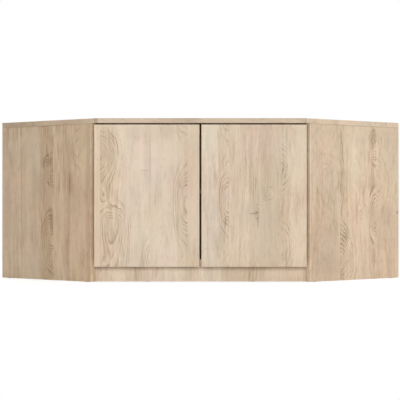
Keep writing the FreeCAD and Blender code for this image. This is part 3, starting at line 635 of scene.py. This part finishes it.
def side_start():
    """Where the right side panel begins along its own width, which lies at 45 degrees to the doors."""
    vertices = nodes["right_side_panel"].data.vertices
    places = np.empty(3 * len(vertices))
    vertices.foreach_get("co", places)
    x, y, _ = places.reshape(-1, 3).T
    return float((x + y).min() * math.sqrt(0.5))


def side_edges(outward):
    """Painted shade under the top panel, and painted light on the front edge of a side panel, in the recess
    beside the door. Outward is -1 on the left one and 1 on the right one."""
    # Painted shade: a dark strip under the top panel
    shade_under_top = Patch((outward * 0.228, 0.5085), (0.300, 0.0022), BROWN, 0.7)
    # Painted light on the front edge, which lies in the door's shade in the recess
    lit_front_edge = Patch((outward * 0.001, SIDE_MIDDLE), (0.005, WHOLE_LENGTH), PALE_WOOD, 1.0)
    return [shade_under_top, lit_front_edge]


def left_side_oak():
    """Left side panel, from its rear edge to its front edge: half figures lean on the joint in its middle."""
    figure_start = -0.255
    figure_end = -0.1875
    front_joint = -0.098
    figure_stave = (figure_start, figure_end)
    staves = [
        Stave(-0.350, 0.985, 1.2), Stave(figure_start, 0.985, 0.8, 0.75), Stave(figure_end, 0.97, 1.6),
        Stave(front_joint, 1.09, 1.2), Stave(0.002, 1.015, 1.6),
    ]
    swells = [
        Swell((figure_end, 0.365), (0.048, 0.040), 6.0, figure_stave, 1.2, shoulder=1.4),
        Swell((figure_end, 0.130), (0.048, 0.070), 9.0, figure_stave, 1.2, shoulder=1.4),
        Swell((-0.070, 0.430), (0.024, 0.050), 2.0, (front_joint, 0.0), 0.35),
    ]
    patches = [
        *side_edges(-1.0),
        # Stained joints
        Patch((-0.3505, SIDE_MIDDLE), (0.0018, 0.300), BROWN, 0.7),
        Patch((-0.342, SIDE_MIDDLE), (0.016, 0.300), BROWN, 0.14),
        Patch((-0.109, SIDE_MIDDLE), (0.0096, 0.450), BROWN, 0.3),
        Patch((-0.118, 0.22), (0.026, 0.260), BROWN, 0.42),
        Patch((-0.104, 0.315), (0.007, 0.046), BROWN, 0.8),
        Patch((-0.012, SIDE_MIDDLE), (0.016, 0.400), BROWN, 0.42),
        # Hearts of the figures
        Patch((-0.200, 0.460), (0.014, 0.050), BROWN, 0.3),
        Patch((-0.202, 0.394), (0.016, 0.026), BROWN, 0.65),
        Patch((-0.235, 0.390), (0.024, 0.024), BROWN, 0.3),
        Patch((-0.196, 0.195), (0.012, 0.045), BROWN, 0.75),
        # Darker streaks
        Patch((-0.425, 0.225), (0.026, 0.160), BROWN, 0.32),
        Patch((-0.281, 0.315), (0.022, 0.090), BROWN, 0.33),
        Patch((-0.250, 0.310), (0.026, 0.060), BROWN, 0.35),
        Patch((-0.160, 0.190), (0.028, 0.100), BROWN, 0.34),
        Patch((-0.072, 0.285), (0.048, 0.080), BROWN, 0.22),
        Patch((-0.040, 0.490), (0.060, 0.070), BROWN, 0.17),
        # Paler streaks
        Patch((-0.390, 0.485), (0.070, 0.070), PALE_WOOD, 1.0),
        Patch((-0.380, 0.030), (0.050, 0.070), PALE_WOOD, 1.0),
        Patch((-0.364, SIDE_MIDDLE), (0.010, 0.300), PALE_WOOD, 0.6),
        Patch((-0.235, 0.160), (0.026, 0.060), PALE_WOOD, 0.7),
        Patch((-0.185, 0.040), (0.020, 0.060), PALE_WOOD, 0.8),
        Patch((-0.160, 0.470), (0.026, 0.080), PALE_WOOD, 1.0),
        Patch((-0.012, 0.090), (0.014, 0.060), PALE_WOOD, 0.7),
        # Clouds of another hue
        Patch((-0.390, 0.245), (0.065, 0.085), PINK, 1.0),
        Patch((-0.220, 0.310), (0.260, 0.060), PINK, 0.5),
        Patch((-0.070, 0.210), (0.050, 0.160), PINK, 0.6),
        Patch((-0.370, 0.425), (0.070, 0.100), GREEN, 0.8),
        Patch((-0.220, 0.030), (0.240, 0.090), GREEN, 0.5),
        Patch((-0.200, 0.040), (0.220, 0.080), MAUVE, 0.4),
    ]
    return oak_board("left_side_oak", UPRIGHT_LEFT_SIDE, staves, swells, patches, first_edge=-0.456,
                     contrast=1.5, curl=0.16, shift=(side_start(), 0.0, 0.0))


def right_side_oak():
    """Right side panel, from its front edge to its rear edge: a figure stands out from the joint nearest to
    the front, and half figures lean on the joint nearest to the rear."""
    front_joint = 0.1495
    pale_joint = 0.240
    figure_start = 0.296
    rear_joint = 0.3354
    figure_stave = (figure_start, rear_joint)
    staves = [
        Stave(front_joint, 0.965, 0.85), Stave(0.172, 0.925, 1.4), Stave(0.188, 1.02, 1.0),
        Stave(pale_joint, 1.10, 0.65, 0.8), Stave(0.270, 1.09, 0.6, 0.75),
        Stave(figure_start, 1.085, 0.6, 0.75), Stave(rear_joint, 1.065, 0.6),
        Stave(0.456, 0.98, 1.0, 0.7),
    ]
    swells = [
        Swell((front_joint, 0.072), (0.060, 0.076), -8.0, (front_joint, pale_joint), 1.15, shoulder=1.3),
        Swell((0.145, 0.350), (0.024, 0.100), -2.5, (front_joint, 0.200), 0.9),
        Swell((rear_joint, 0.440), (0.038, 0.042), 5.0, figure_stave, 1.1, shoulder=1.5),
        Swell((rear_joint, 0.215), (0.038, 0.066), 5.0, figure_stave, 1.1, shoulder=1.5),
        Swell((0.350, 0.320), (0.044, 0.060), -4.5, (rear_joint, 0.460), 0.45),
        Swell((0.244, 0.235), (0.026, 0.024), 3.5, (0.206, figure_start), 0.4),
        Swell((0.068, 0.350), (0.040, 0.060), 4.5, (-0.002, front_joint), 0.3, shoulder=1.2, tail=0.35),
    ]
    patches = [
        *side_edges(1.0),
        # Hearts of the figures, and a small knot at the rear edge
        Patch((0.318, 0.470), (0.014, 0.060), BROWN, 0.55),
        Patch((0.318, 0.320), (0.018, 0.045), BROWN, 0.4),
        Patch((0.316, 0.205), (0.034, 0.065), BROWN, 0.42),
        Patch((0.322, 0.070), (0.012, 0.040), BROWN, 0.5),
        Patch((0.449, 0.222), (0.010, 0.006), DARK, 0.6),
        # Darker streaks, and painted shade across the top under the top panel
        Patch((0.075, 0.120), (0.085, 0.160), BROWN, 0.24),
        Patch((0.085, 0.055), (0.090, 0.050), BROWN, 0.20),
        Patch((0.199, 0.425), (0.016, 0.050), BROWN, 0.16),
        # Painted shade across the whole width, under the top panel
        Patch((0.228, 0.505), (0.600, 0.070), BROWN, 0.19),
        # A darker streak
        Patch((0.385, 0.210), (0.050, 0.050), BROWN, 0.3),
        # Paler streaks
        Patch((0.018, 0.240), (0.016, 0.100), PALE_WOOD, 0.7),
        Patch((0.108, 0.322), (0.026, 0.045), PALE_WOOD, 0.7),
        Patch((0.225, 0.275), (0.032, 0.060), PALE_WOOD, 1.0),
        Patch((0.250, 0.260), (0.014, 0.060), PALE_WOOD, 0.9),
        Patch((0.300, 0.375), (0.024, 0.040), PALE_WOOD, 0.7),
        Patch((0.340, 0.420), (0.070, 0.060), PALE_WOOD, 0.5),
        Patch((0.365, 0.058), (0.038, 0.055), PALE_WOOD, 0.8),
        # Clouds of another hue
        Patch((0.070, 0.400), (0.060, 0.110), PINK, 1.0),
        Patch((0.085, 0.120), (0.080, 0.130), PINK, 0.8),
        Patch((0.400, 0.225), (0.050, 0.055), PINK, 0.9),
        Patch((0.085, 0.330), (0.050, 0.100), MAUVE, 0.4),
        Patch((0.190, 0.150), (0.034, 0.080), GREEN, 0.8),
        Patch((0.400, 0.420), (0.080, 0.110), GREEN, 0.7),
    ]
    return oak_board("right_side_oak", UPRIGHT_RIGHT_SIDE, staves, swells, patches, first_edge=-0.002,
                     contrast=1.25, curl=0.24, shift=(-side_start(), 0.0, 0.0))


def plinth_oak():
    """Plinth board: a low strip of upright grain, with tones and painted light at its right end, beside the
    right side panel, but no figures.
    """
    staves = [
        Stave(-0.292, 1.10, -0.3), Stave(-0.2415, 1.15, -0.4), Stave(-0.174, 0.995, -0.1),
        Stave(0.022, 1.155, -1.0), Stave(0.070, 1.08, -0.8), Stave(0.115, 0.965, 0.0),
        Stave(0.200, 0.995, 0.3), Stave(0.251, 1.005, -0.1), Stave(0.360, 1.01, 0.1),
    ]
    # Painted light at the right end, where the side panel shades it
    patches = [Patch((0.332, 0.030), (0.022, 0.200), PALE_WOOD, 1.0)]
    return oak_board("plinth_oak", UPRIGHT, staves, patches=patches, first_edge=-0.360, contrast=1.4)


def slab_oak():
    """Top panel: across is from the front edge to the rear corner, and along is from right to left."""
    edge_band = -0.440
    first_joint = -0.330
    second_joint = -0.210
    third_joint = -0.080
    fourth_joint = 0.040
    fifth_joint = 0.190
    sixth_joint = 0.310
    second_stave = (first_joint, second_joint)
    fourth_stave = (third_joint, fourth_joint)
    staves = [
        Stave(edge_band, 0.785, 0.5, 1.4), Stave(first_joint, 0.98, 0.4), Stave(second_joint, 1.0, 0.3),
        Stave(third_joint, 1.03, 0.2), Stave(fourth_joint, 1.05, 0.0), Stave(fifth_joint, 1.08, -0.2),
        Stave(sixth_joint, 1.02, 0.0), Stave(0.460, 1.07, -0.2),
    ]
    swells = [
        Swell((second_joint, -0.260), (0.050, 0.130), 6.0, second_stave, 0.8, shoulder=1.3),
        Swell((first_joint, 0.150), (0.040, 0.110), -5.0, second_stave, 0.7, shoulder=1.3),
        Swell((third_joint, 0.240), (0.050, 0.140), -6.0, fourth_stave, 0.8, shoulder=1.3),
        Swell((fourth_joint, -0.120), (0.040, 0.120), 5.0, fourth_stave, 0.7, shoulder=1.4),
        Swell((0.125, 0.090), (0.036, 0.130), 4.0, (fourth_joint, fifth_joint), 0.45, shoulder=1.4, tail=0.5),
        Swell((sixth_joint, -0.060), (0.050, 0.120), 5.0, (fifth_joint, sixth_joint), 0.7, shoulder=1.3),
    ]
    patches = [
        # Front edge
        Patch((-0.450, 0.027), (0.030, 0.028), BROWN, 0.3),
        Patch((-0.450, -0.290), (0.030, 0.060), PALE_WOOD, 1.0),
        # Left and right edges
        Patch((-0.170, 0.610), (0.070, 0.080), BROWN, 0.45),
        Patch((-0.125, 0.660), (0.060, 0.060), BROWN, 0.40),
        Patch((-0.360, 0.430), (0.090, 0.110), BROWN, 0.20),
        Patch((-0.240, 0.540), (0.200, 0.200), TAN, 0.55),
        Patch((-0.343, -0.438), (0.026, 0.026), BROWN, 0.25),
    ]
    return oak_board("slab_oak", LYING, staves, swells, patches, first_edge=-0.460, contrast=1.0)


def rear_corner_oak():
    """Rear corner panel: three staves, with one half figure on a joint."""
    left_joint = -0.032
    right_joint = 0.036
    staves = [Stave(left_joint, 1.0, 0.0), Stave(right_joint, 1.05, -0.3), Stave(0.080, 0.97, 0.2)]
    middle_stave = (left_joint, right_joint)
    swells = [Swell((left_joint, 0.300), (0.030, 0.080), -5.0, middle_stave, 0.7, shoulder=1.3)]
    return oak_board("rear_corner_oak", UPRIGHT, staves, swells, first_edge=-0.080, contrast=1.2)


def lying_oak():
    """Bottom panel, shelf and plinth brace: staves from front to rear, without figures."""
    staves = [
        Stave(-0.330, 1.05, -0.2), Stave(-0.210, 1.0, 0.0), Stave(-0.080, 1.06, -0.4),
        Stave(0.040, 1.01, 0.0), Stave(0.190, 1.06, -0.2), Stave(0.310, 1.0, 0.0),
        Stave(0.460, 1.04, -0.2),
    ]
    return oak_board("lying_oak", LYING, staves, first_edge=-0.460, contrast=1.1)


# Back boards: linear colours, waves per metre along and up, and the ranges of the noises that show
HARDBOARD = (0.315, 0.200, 0.112, 1.0)
HARDBOARD_CLOUD = (0.265, 0.163, 0.088, 1.0)
HARDBOARD_FIBRE = (0.205, 0.120, 0.062, 1.0)
HARDBOARD_FLECK = (0.430, 0.300, 0.185, 1.0)
CLOUD_WAVES = (9.0, 9.0, 1.0)
PRESSED_FIBRE_WAVES = (260.0, 120.0, 1.0)
FLECK_WAVES = (420.0, 700.0, 1.0)
PRESSED_FIBRE_RANGE = (0.50, 0.72, 0.0, 0.55)
FLECK_RANGE = (0.60, 0.72, 0.0, 0.60)
PRESSED_ROUGHNESS = (0.62, 0.80)
HARDBOARD_BUMP_DEPTH = 0.0002
SCREEN_PITCH = 0.0018       # metres from wave to wave of the press screen's print
SCREEN_HEIGHT = 0.5         # beside the fibres' height of 1
INWARD_FACING = -0.3        # highest y of a normal on the face towards the shelves
PAPER_CONTRAST = 1.1
PAPER_CURL = 0.1


def hardboard_finish():
    """Thin back board: brown pressed fibre with the print of the press screen on the outer face, and a paper
    of pale oak on the face towards the shelves. The boards stand at 45 degrees, so the root of two times x
    runs along both of them."""
    material, wiring, shader, coordinates = new_finish("hardboard_back")
    across, _, up = wiring.parts(coordinates["Object"])
    along_board = wiring.times(across, math.sqrt(2.0))
    face = wiring.combine(along_board, up, 0.0)
    clouds = wiring.noise(face, CLOUD_WAVES, detail=3.0)["Fac"]
    fibres = wiring.noise(face, PRESSED_FIBRE_WAVES, detail=3.0, distortion=1.6)["Fac"]
    flecks = wiring.noise(face, FLECK_WAVES, detail=1.0, distortion=2.5)["Fac"]
    brown = wiring.mix(wiring.spread(clouds, *NOISE_SPAN), HARDBOARD, HARDBOARD_CLOUD)
    brown = wiring.mix(wiring.spread(fibres, *PRESSED_FIBRE_RANGE), brown, HARDBOARD_FIBRE)
    brown = wiring.mix(wiring.spread(flecks, *FLECK_RANGE), brown, HARDBOARD_FLECK)
    paper = wiring.group(finish_tree, {
        "Position": face, "Stave": (*OAK, 1.0), "Lines": 0.0, "Glints": 0.0, "Contrast": PAPER_CONTRAST,
        "Curl": PAPER_CURL})
    inward = wiring.math("LESS_THAN", wiring.parts(coordinates["Normal"])[1], INWARD_FACING)
    wave_turn = 2 * math.pi / SCREEN_PITCH
    columns = wiring.math("SINE", wiring.times(along_board, wave_turn))
    rows = wiring.math("SINE", wiring.times(up, wave_turn))
    rough_height = wiring.math("ADD", wiring.times(columns, rows, SCREEN_HEIGHT), fibres)
    roughness = wiring.between(inward, wiring.spread(fibres, *NOISE_SPAN, *PRESSED_ROUGHNESS),
                               paper["Roughness"])
    height = wiring.between(inward, rough_height, paper["Height"])
    colour = wiring.mix(inward, brown, paper["Colour"])
    finish_surface(wiring, shader, colour, roughness, height, HARDBOARD_BUMP_DEPTH)
    return material


# Beech dowels
BEECH = (0.600, 0.415, 0.255, 1.0)
BEECH_FIBRE = (0.520, 0.335, 0.190, 1.0)
BEECH_FLECK = (0.360, 0.205, 0.105, 1.0)
BEECH_FLECK_SHARE = 0.7
BEECH_ROUGHNESS = (0.55, 0.70)
BEECH_BUMP_DEPTH = 0.0001


def beech_finish():
    """Beech dowels: pinkish tan with fine fibres and short darker flecks."""
    material, wiring, shader, coordinates = new_finish("beech_dowel")
    fibres = wiring.group(fibres_tree, {"Position": coordinates["Object"]})
    colour = wiring.mix(fibres["Fine"], BEECH, BEECH_FIBRE)
    colour = wiring.mix(wiring.times(fibres["Pore"], BEECH_FLECK_SHARE), colour, BEECH_FLECK)
    roughness = wiring.spread(fibres["Fine"], 0.0, 1.0, *BEECH_ROUGHNESS)
    finish_surface(wiring, shader, colour, roughness, fibres["Fine"], BEECH_BUMP_DEPTH)
    return material


# Zinc plating
ZINC_BLUE = (0.61, 0.64, 0.68, 1.0)
ZINC_STRAW = (0.68, 0.66, 0.61, 1.0)
ZINC_SHADE = (0.82, 0.83, 0.85, 1.0)
SPANGLE_WAVES = (900.0, 900.0, 900.0)
BLOOM_WAVES = (70.0, 70.0, 70.0)
ROLLING_WAVES = (2400.0, 2400.0, 160.0)
SPANGLE_RANGE = (0.35, 0.65, 0.0, 0.6)
SPANGLE_ROUGHNESS = (0.20, 0.32)
ROLLING_ROUGHNESS = (0.0, 0.12)
ZINC_BUMP_DEPTH = 0.00003


def zinc_finish():
    """Zinc-plated steel: bright metal with a fine crystal spangle, a faint blue and straw bloom and rolling
    marks."""
    material, wiring, shader, coordinates = new_finish("zinc_plated_steel")
    spangle = wiring.noise(coordinates["Object"], SPANGLE_WAVES, detail=1.0)["Fac"]
    bloom = wiring.noise(coordinates["Object"], BLOOM_WAVES)["Fac"]
    rolling = wiring.noise(coordinates["Object"], ROLLING_WAVES)["Fac"]
    colour = wiring.mix(wiring.spread(bloom, *NOISE_SPAN), ZINC_BLUE, ZINC_STRAW)
    colour = wiring.tinted(wiring.spread(spangle, *SPANGLE_RANGE), colour, ZINC_SHADE)
    crystal_roughness = wiring.spread(spangle, *NOISE_SPAN, *SPANGLE_ROUGHNESS)
    marks_roughness = wiring.spread(rolling, *NOISE_SPAN, *ROLLING_ROUGHNESS)
    roughness = wiring.math("ADD", crystal_roughness, marks_roughness)
    shader.inputs["Metallic"].default_value = 1.0
    finish_surface(wiring, shader, colour, roughness, rolling, ZINC_BUMP_DEPTH)
    return material


# Moulded plastics
PIT_WAVES = (1500.0, 1500.0, 1500.0)
POLISH_WAVES = (120.0, 120.0, 120.0)
PIT_SHARE = 0.6             # of the shading, beside the polish
POLISH_GAIN = 0.14          # roughness that the polish takes away


def moulded_skin_group():
    """Skin of a moulded plastic: the even fine pits of an etched mould for the height, and slow clouds that
    polish it more in some places than in others."""
    outputs = [("Pits", VALUE), ("Polish", VALUE)]
    tree, wiring, given, made = new_group("moulded_skin", [("Position", VECTOR)], outputs)
    pits = wiring.noise(given["Position"], PIT_WAVES, detail=1.0)["Fac"]
    polish = wiring.noise(given["Position"], POLISH_WAVES)["Fac"]
    wiring.feed(made["Pits"], wiring.spread(pits, *NOISE_SPAN, smooth=True))
    wiring.feed(made["Polish"], wiring.spread(polish, *NOISE_SPAN, smooth=True))
    return tree


skin_tree = moulded_skin_group()


def moulded_finish(name, shaded, plain, matt, pit_depth):
    """A moulded plastic: its colour a little shaded in the pits of its skin, matt where it isn't polished."""
    material, wiring, shader, coordinates = new_finish(name)
    skin = wiring.group(skin_tree, {"Position": coordinates["Object"]})
    polish_share = wiring.times(skin["Polish"], 1.0 - PIT_SHARE)
    share = wiring.math("MULTIPLY_ADD", skin["Pits"], PIT_SHARE, polish_share)
    colour = wiring.mix(share, shaded, plain)
    roughness = wiring.spread(skin["Polish"], 0.0, 1.0, matt, matt - POLISH_GAIN)
    finish_surface(wiring, shader, colour, roughness, skin["Pits"], pit_depth)
    return material


# Boards with a print of their own, then the finish of each material slot
node_finishes = {
    "left_door": left_door_oak(),
    "right_door": right_door_oak(),
    "left_side_panel": left_side_oak(),
    "right_side_panel": right_side_oak(),
    "plinth_board": plinth_oak(),
    "top_panel": slab_oak(),
    "rear_corner_panel": rear_corner_oak(),
}
slot_finishes = {
    "oak_board": lying_oak(),
    "hardboard": hardboard_finish(),
    "beech": beech_finish(),
    "zinc_steel": zinc_finish(),
    "grey_plastic": moulded_finish("grey_moulding", shaded=(0.062, 0.063, 0.067, 1.0),
                                   plain=(0.092, 0.093, 0.098, 1.0), matt=0.56, pit_depth=0.00006),
    "white_plastic": moulded_finish("white_moulding", shaded=(0.62, 0.62, 0.59, 1.0),
                                    plain=(0.72, 0.72, 0.69, 1.0), matt=0.48, pit_depth=0.00004),
    "soft_bumper": moulded_finish("soft_bumper", shaded=(0.52, 0.53, 0.52, 1.0),
                                  plain=(0.63, 0.64, 0.63, 1.0), matt=0.36, pit_depth=0.00002),
}
for subpart in frame["record"]["subparts"]:
    node = nodes[subpart["node"]]
    node.data.materials.clear()
    node.data.materials.append(node_finishes.get(node.name, slot_finishes[subpart["material_slot"]]))


# Latch springs, in metres
SPRING_WIRE = 0.0004        # radius
SPRING_CLEARANCE = 0.00005  # to the plunger and to the end of the bore
SPRING_TURNS = 9
TURN_STEPS = 28
WIRE_STEPS = 12


def wire_coil(name, lowest, highest):
    """A round wire carried along a helix that fills a box lengthwise in y: the centre line turns evenly, and
    its rise per turn grows from the wire's own thickness at both ends, where the coil is closed, to an open
    pitch between them by a raised cosine. The wire's circle lies in the radius and the axis of the helix."""
    middle = (lowest + highest) / 2
    coil_radius = (highest[0] - lowest[0]) / 2 - SPRING_WIRE
    share = np.linspace(0.0, 1.0, SPRING_TURNS * TURN_STEPS + 1)
    angle = 2 * np.pi * SPRING_TURNS * share
    length = highest[1] - lowest[1] - 2 * (SPRING_WIRE + SPRING_CLEARANCE)
    closed = 2 * SPRING_WIRE * SPRING_TURNS * share
    opened = (length - closed[-1]) * (share - np.sin(2 * np.pi * share) / (2 * np.pi))
    start = lowest[1] + SPRING_WIRE + SPRING_CLEARANCE
    outward = np.stack([np.cos(angle), np.zeros_like(angle), np.sin(angle)], axis=1)
    centre = coil_radius * outward + np.array([middle[0], start, middle[2]])
    centre[:, 1] += closed + opened
    around = 2 * np.pi * np.arange(WIRE_STEPS) / WIRE_STEPS
    rim = np.cos(around)[None, :, None] * outward[:, None, :]
    rim = rim + np.sin(around)[None, :, None] * np.array([0.0, 1.0, 0.0])
    points = (centre[:, None, :] + SPRING_WIRE * rim).reshape(-1, 3)
    corner = np.arange(len(points)).reshape(len(centre), WIRE_STEPS)
    beside = np.roll(corner, -1, axis=1)
    quads = np.stack([corner[:-1], beside[:-1], beside[1:], corner[1:]], axis=2).reshape(-1, 4)
    caps = [corner[0, ::-1].tolist(), corner[-1].tolist()]
    mesh = bpy.data.meshes.new(name)
    mesh.from_pydata(points.tolist(), [], quads.tolist() + caps)
    mesh.polygons.foreach_set("use_smooth", np.ones(len(mesh.polygons), dtype=bool))
    mesh.materials.append(slot_finishes["zinc_steel"])
    return new_object(name, mesh)


for side in ("left", "right"):
    lowest, highest = (np.array(corner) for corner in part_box(side + "_latch_spring"))
    coil = wire_coil(side + "_latch_coil", lowest, highest)
    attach(coil, "carcass")
    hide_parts(side + "_latch_spring")
    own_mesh(coil)


# Camera: level and square on to the doors. Its place is in metres, its lens in millimetres, and its shifts
# are shares of the view.
CAMERA_PLACE = (0.0, -5.941, 0.2595)
LENS = 154.8
SENSOR_WIDTH = 36.0
SHIFT_X = -0.00105
SHIFT_Y = 0.0032

camera = new_object("camera", bpy.data.cameras.new("camera"))
camera.location = CAMERA_PLACE
camera.rotation_euler = (QUARTER, 0.0, 0.0)
camera.data.lens = LENS
camera.data.sensor_width = SENSOR_WIDTH
camera.data.shift_x = SHIFT_X
camera.data.shift_y = SHIFT_Y
bpy.context.scene.camera = camera
bpy.context.scene.view_settings.view_transform = "Standard"

# Light
WHITE = (1.0, 1.0, 1.0, 1.0)
AIM_HEIGHT = 0.26           # metres above the floor that the lamps are aimed at
EVEN_LIGHT = 0.130          # strength of the world's light on surfaces


def softbox(name, azimuth, elevation, distance, width, height, level):
    """A rectangular lamp aimed at the cabinet's middle. Azimuth and elevation are degrees from the front and
    from level. The level is the share of a surface's own colour that it shows when it faces the lamp."""
    lamp = new_object(name, bpy.data.lights.new(name, "AREA"))
    turn = math.radians(azimuth)
    rise = math.radians(elevation)
    lamp.location = (distance * math.sin(turn) * math.cos(rise), -distance * math.cos(turn) * math.cos(rise),
                     AIM_HEIGHT + distance * math.sin(rise))
    lamp.rotation_euler = (QUARTER - rise, 0.0, turn)
    lamp.data.shape = "RECTANGLE"
    lamp.data.size = width
    lamp.data.size_y = height
    lamp.data.energy = level * (math.pi * distance) ** 2


def seen_directly(wiring):
    """1 for camera, mirror and glass rays, 0 for the rays that carry light between surfaces."""
    path = wiring.node("ShaderNodeLightPath").outputs
    direct = wiring.math("ADD", path["Is Camera Ray"], path["Is Glossy Ray"])
    return wiring.math("MINIMUM", wiring.math("ADD", direct, path["Is Transmission Ray"]), 1.0)


def studio_world():
    """White where it is seen, a weaker even light elsewhere."""
    world = bpy.data.worlds.new("studio")
    world.use_nodes = True
    wiring = Wiring(world.node_tree)
    background = world.node_tree.nodes["Background"]
    background.inputs["Color"].default_value = WHITE
    strength = wiring.spread(seen_directly(wiring), 0.0, 1.0, EVEN_LIGHT, 1.0)
    wiring.feed(background.inputs["Strength"], strength)
    return world


softbox("front_softbox", azimuth=0.0, elevation=7.5, distance=7.0, width=3.2, height=2.0, level=0.588)
softbox("right_softbox", azimuth=82.0, elevation=10.0, distance=6.5, width=2.4, height=1.6, level=0.224)
softbox("overhead_softbox", azimuth=0.0, elevation=88.0, distance=3.5, width=3.0, height=3.0, level=0.40)
softbox("rear_softbox", azimuth=180.0, elevation=30.0, distance=6.0, width=4.0, height=2.0, level=0.45)
bpy.context.scene.world = studio_world()

# Floor, in metres: its paint as surfaces see it, and its shade and glow as the camera sees it
FLOOR_RADIUS = 30.0
FLOOR_SIDES = 96
FLOOR_PAINT = (0.88, 0.88, 0.88, 1.0)
FLOOR_SHADE = (0.38, 0.38, 0.38, 1.0)
FLOOR_GLOW = 0.80
WHITE_START = 1.0           # distance from the cabinet's middle where the shade begins to go over to white
WHITE_END = 2.2


def floor_finish():
    """Pale paint that keeps a faint shadow near the cabinet and goes to white further out."""
    material = bpy.data.materials.new("pale_floor")
    material.use_nodes = True
    wiring = Wiring(material.node_tree)
    material.node_tree.nodes.remove(material.node_tree.nodes["Principled BSDF"])
    paint = wiring.node("ShaderNodeBsdfDiffuse", {"Color": FLOOR_PAINT})
    shade = wiring.node("ShaderNodeBsdfDiffuse", {"Color": FLOOR_SHADE})
    glow = wiring.node("ShaderNodeEmission", {"Color": WHITE, "Strength": FLOOR_GLOW})
    white = wiring.node("ShaderNodeEmission", {"Color": WHITE, "Strength": 1.0})
    near = wiring.node("ShaderNodeAddShader", {0: shade.outputs[0], 1: glow.outputs[0]})
    distance = wiring.length(wiring.node("ShaderNodeTexCoord").outputs["Object"])
    far_share = wiring.spread(distance, WHITE_START, WHITE_END, smooth=True)
    seen = wiring.node("ShaderNodeMixShader", {0: far_share, 1: near.outputs[0], 2: white.outputs[0]})
    inputs = {0: seen_directly(wiring), 1: paint.outputs[0], 2: seen.outputs[0]}
    chosen = wiring.node("ShaderNodeMixShader", inputs)
    wiring.feed(material.node_tree.nodes["Material Output"].inputs["Surface"], chosen.outputs[0])
    return material


def floor_disc():
    """A wide flat disc: corners evenly round a circle, closed by one face."""
    angle = 2 * np.pi * np.arange(FLOOR_SIDES) / FLOOR_SIDES
    rim = FLOOR_RADIUS * np.stack([np.cos(angle), np.sin(angle), np.zeros_like(angle)], axis=1)
    mesh = bpy.data.meshes.new("floor")
    mesh.from_pydata(rim.tolist(), [], [list(range(FLOOR_SIDES))])
    mesh.materials.append(floor_finish())
    return new_object("floor", mesh)


floor = floor_disc()
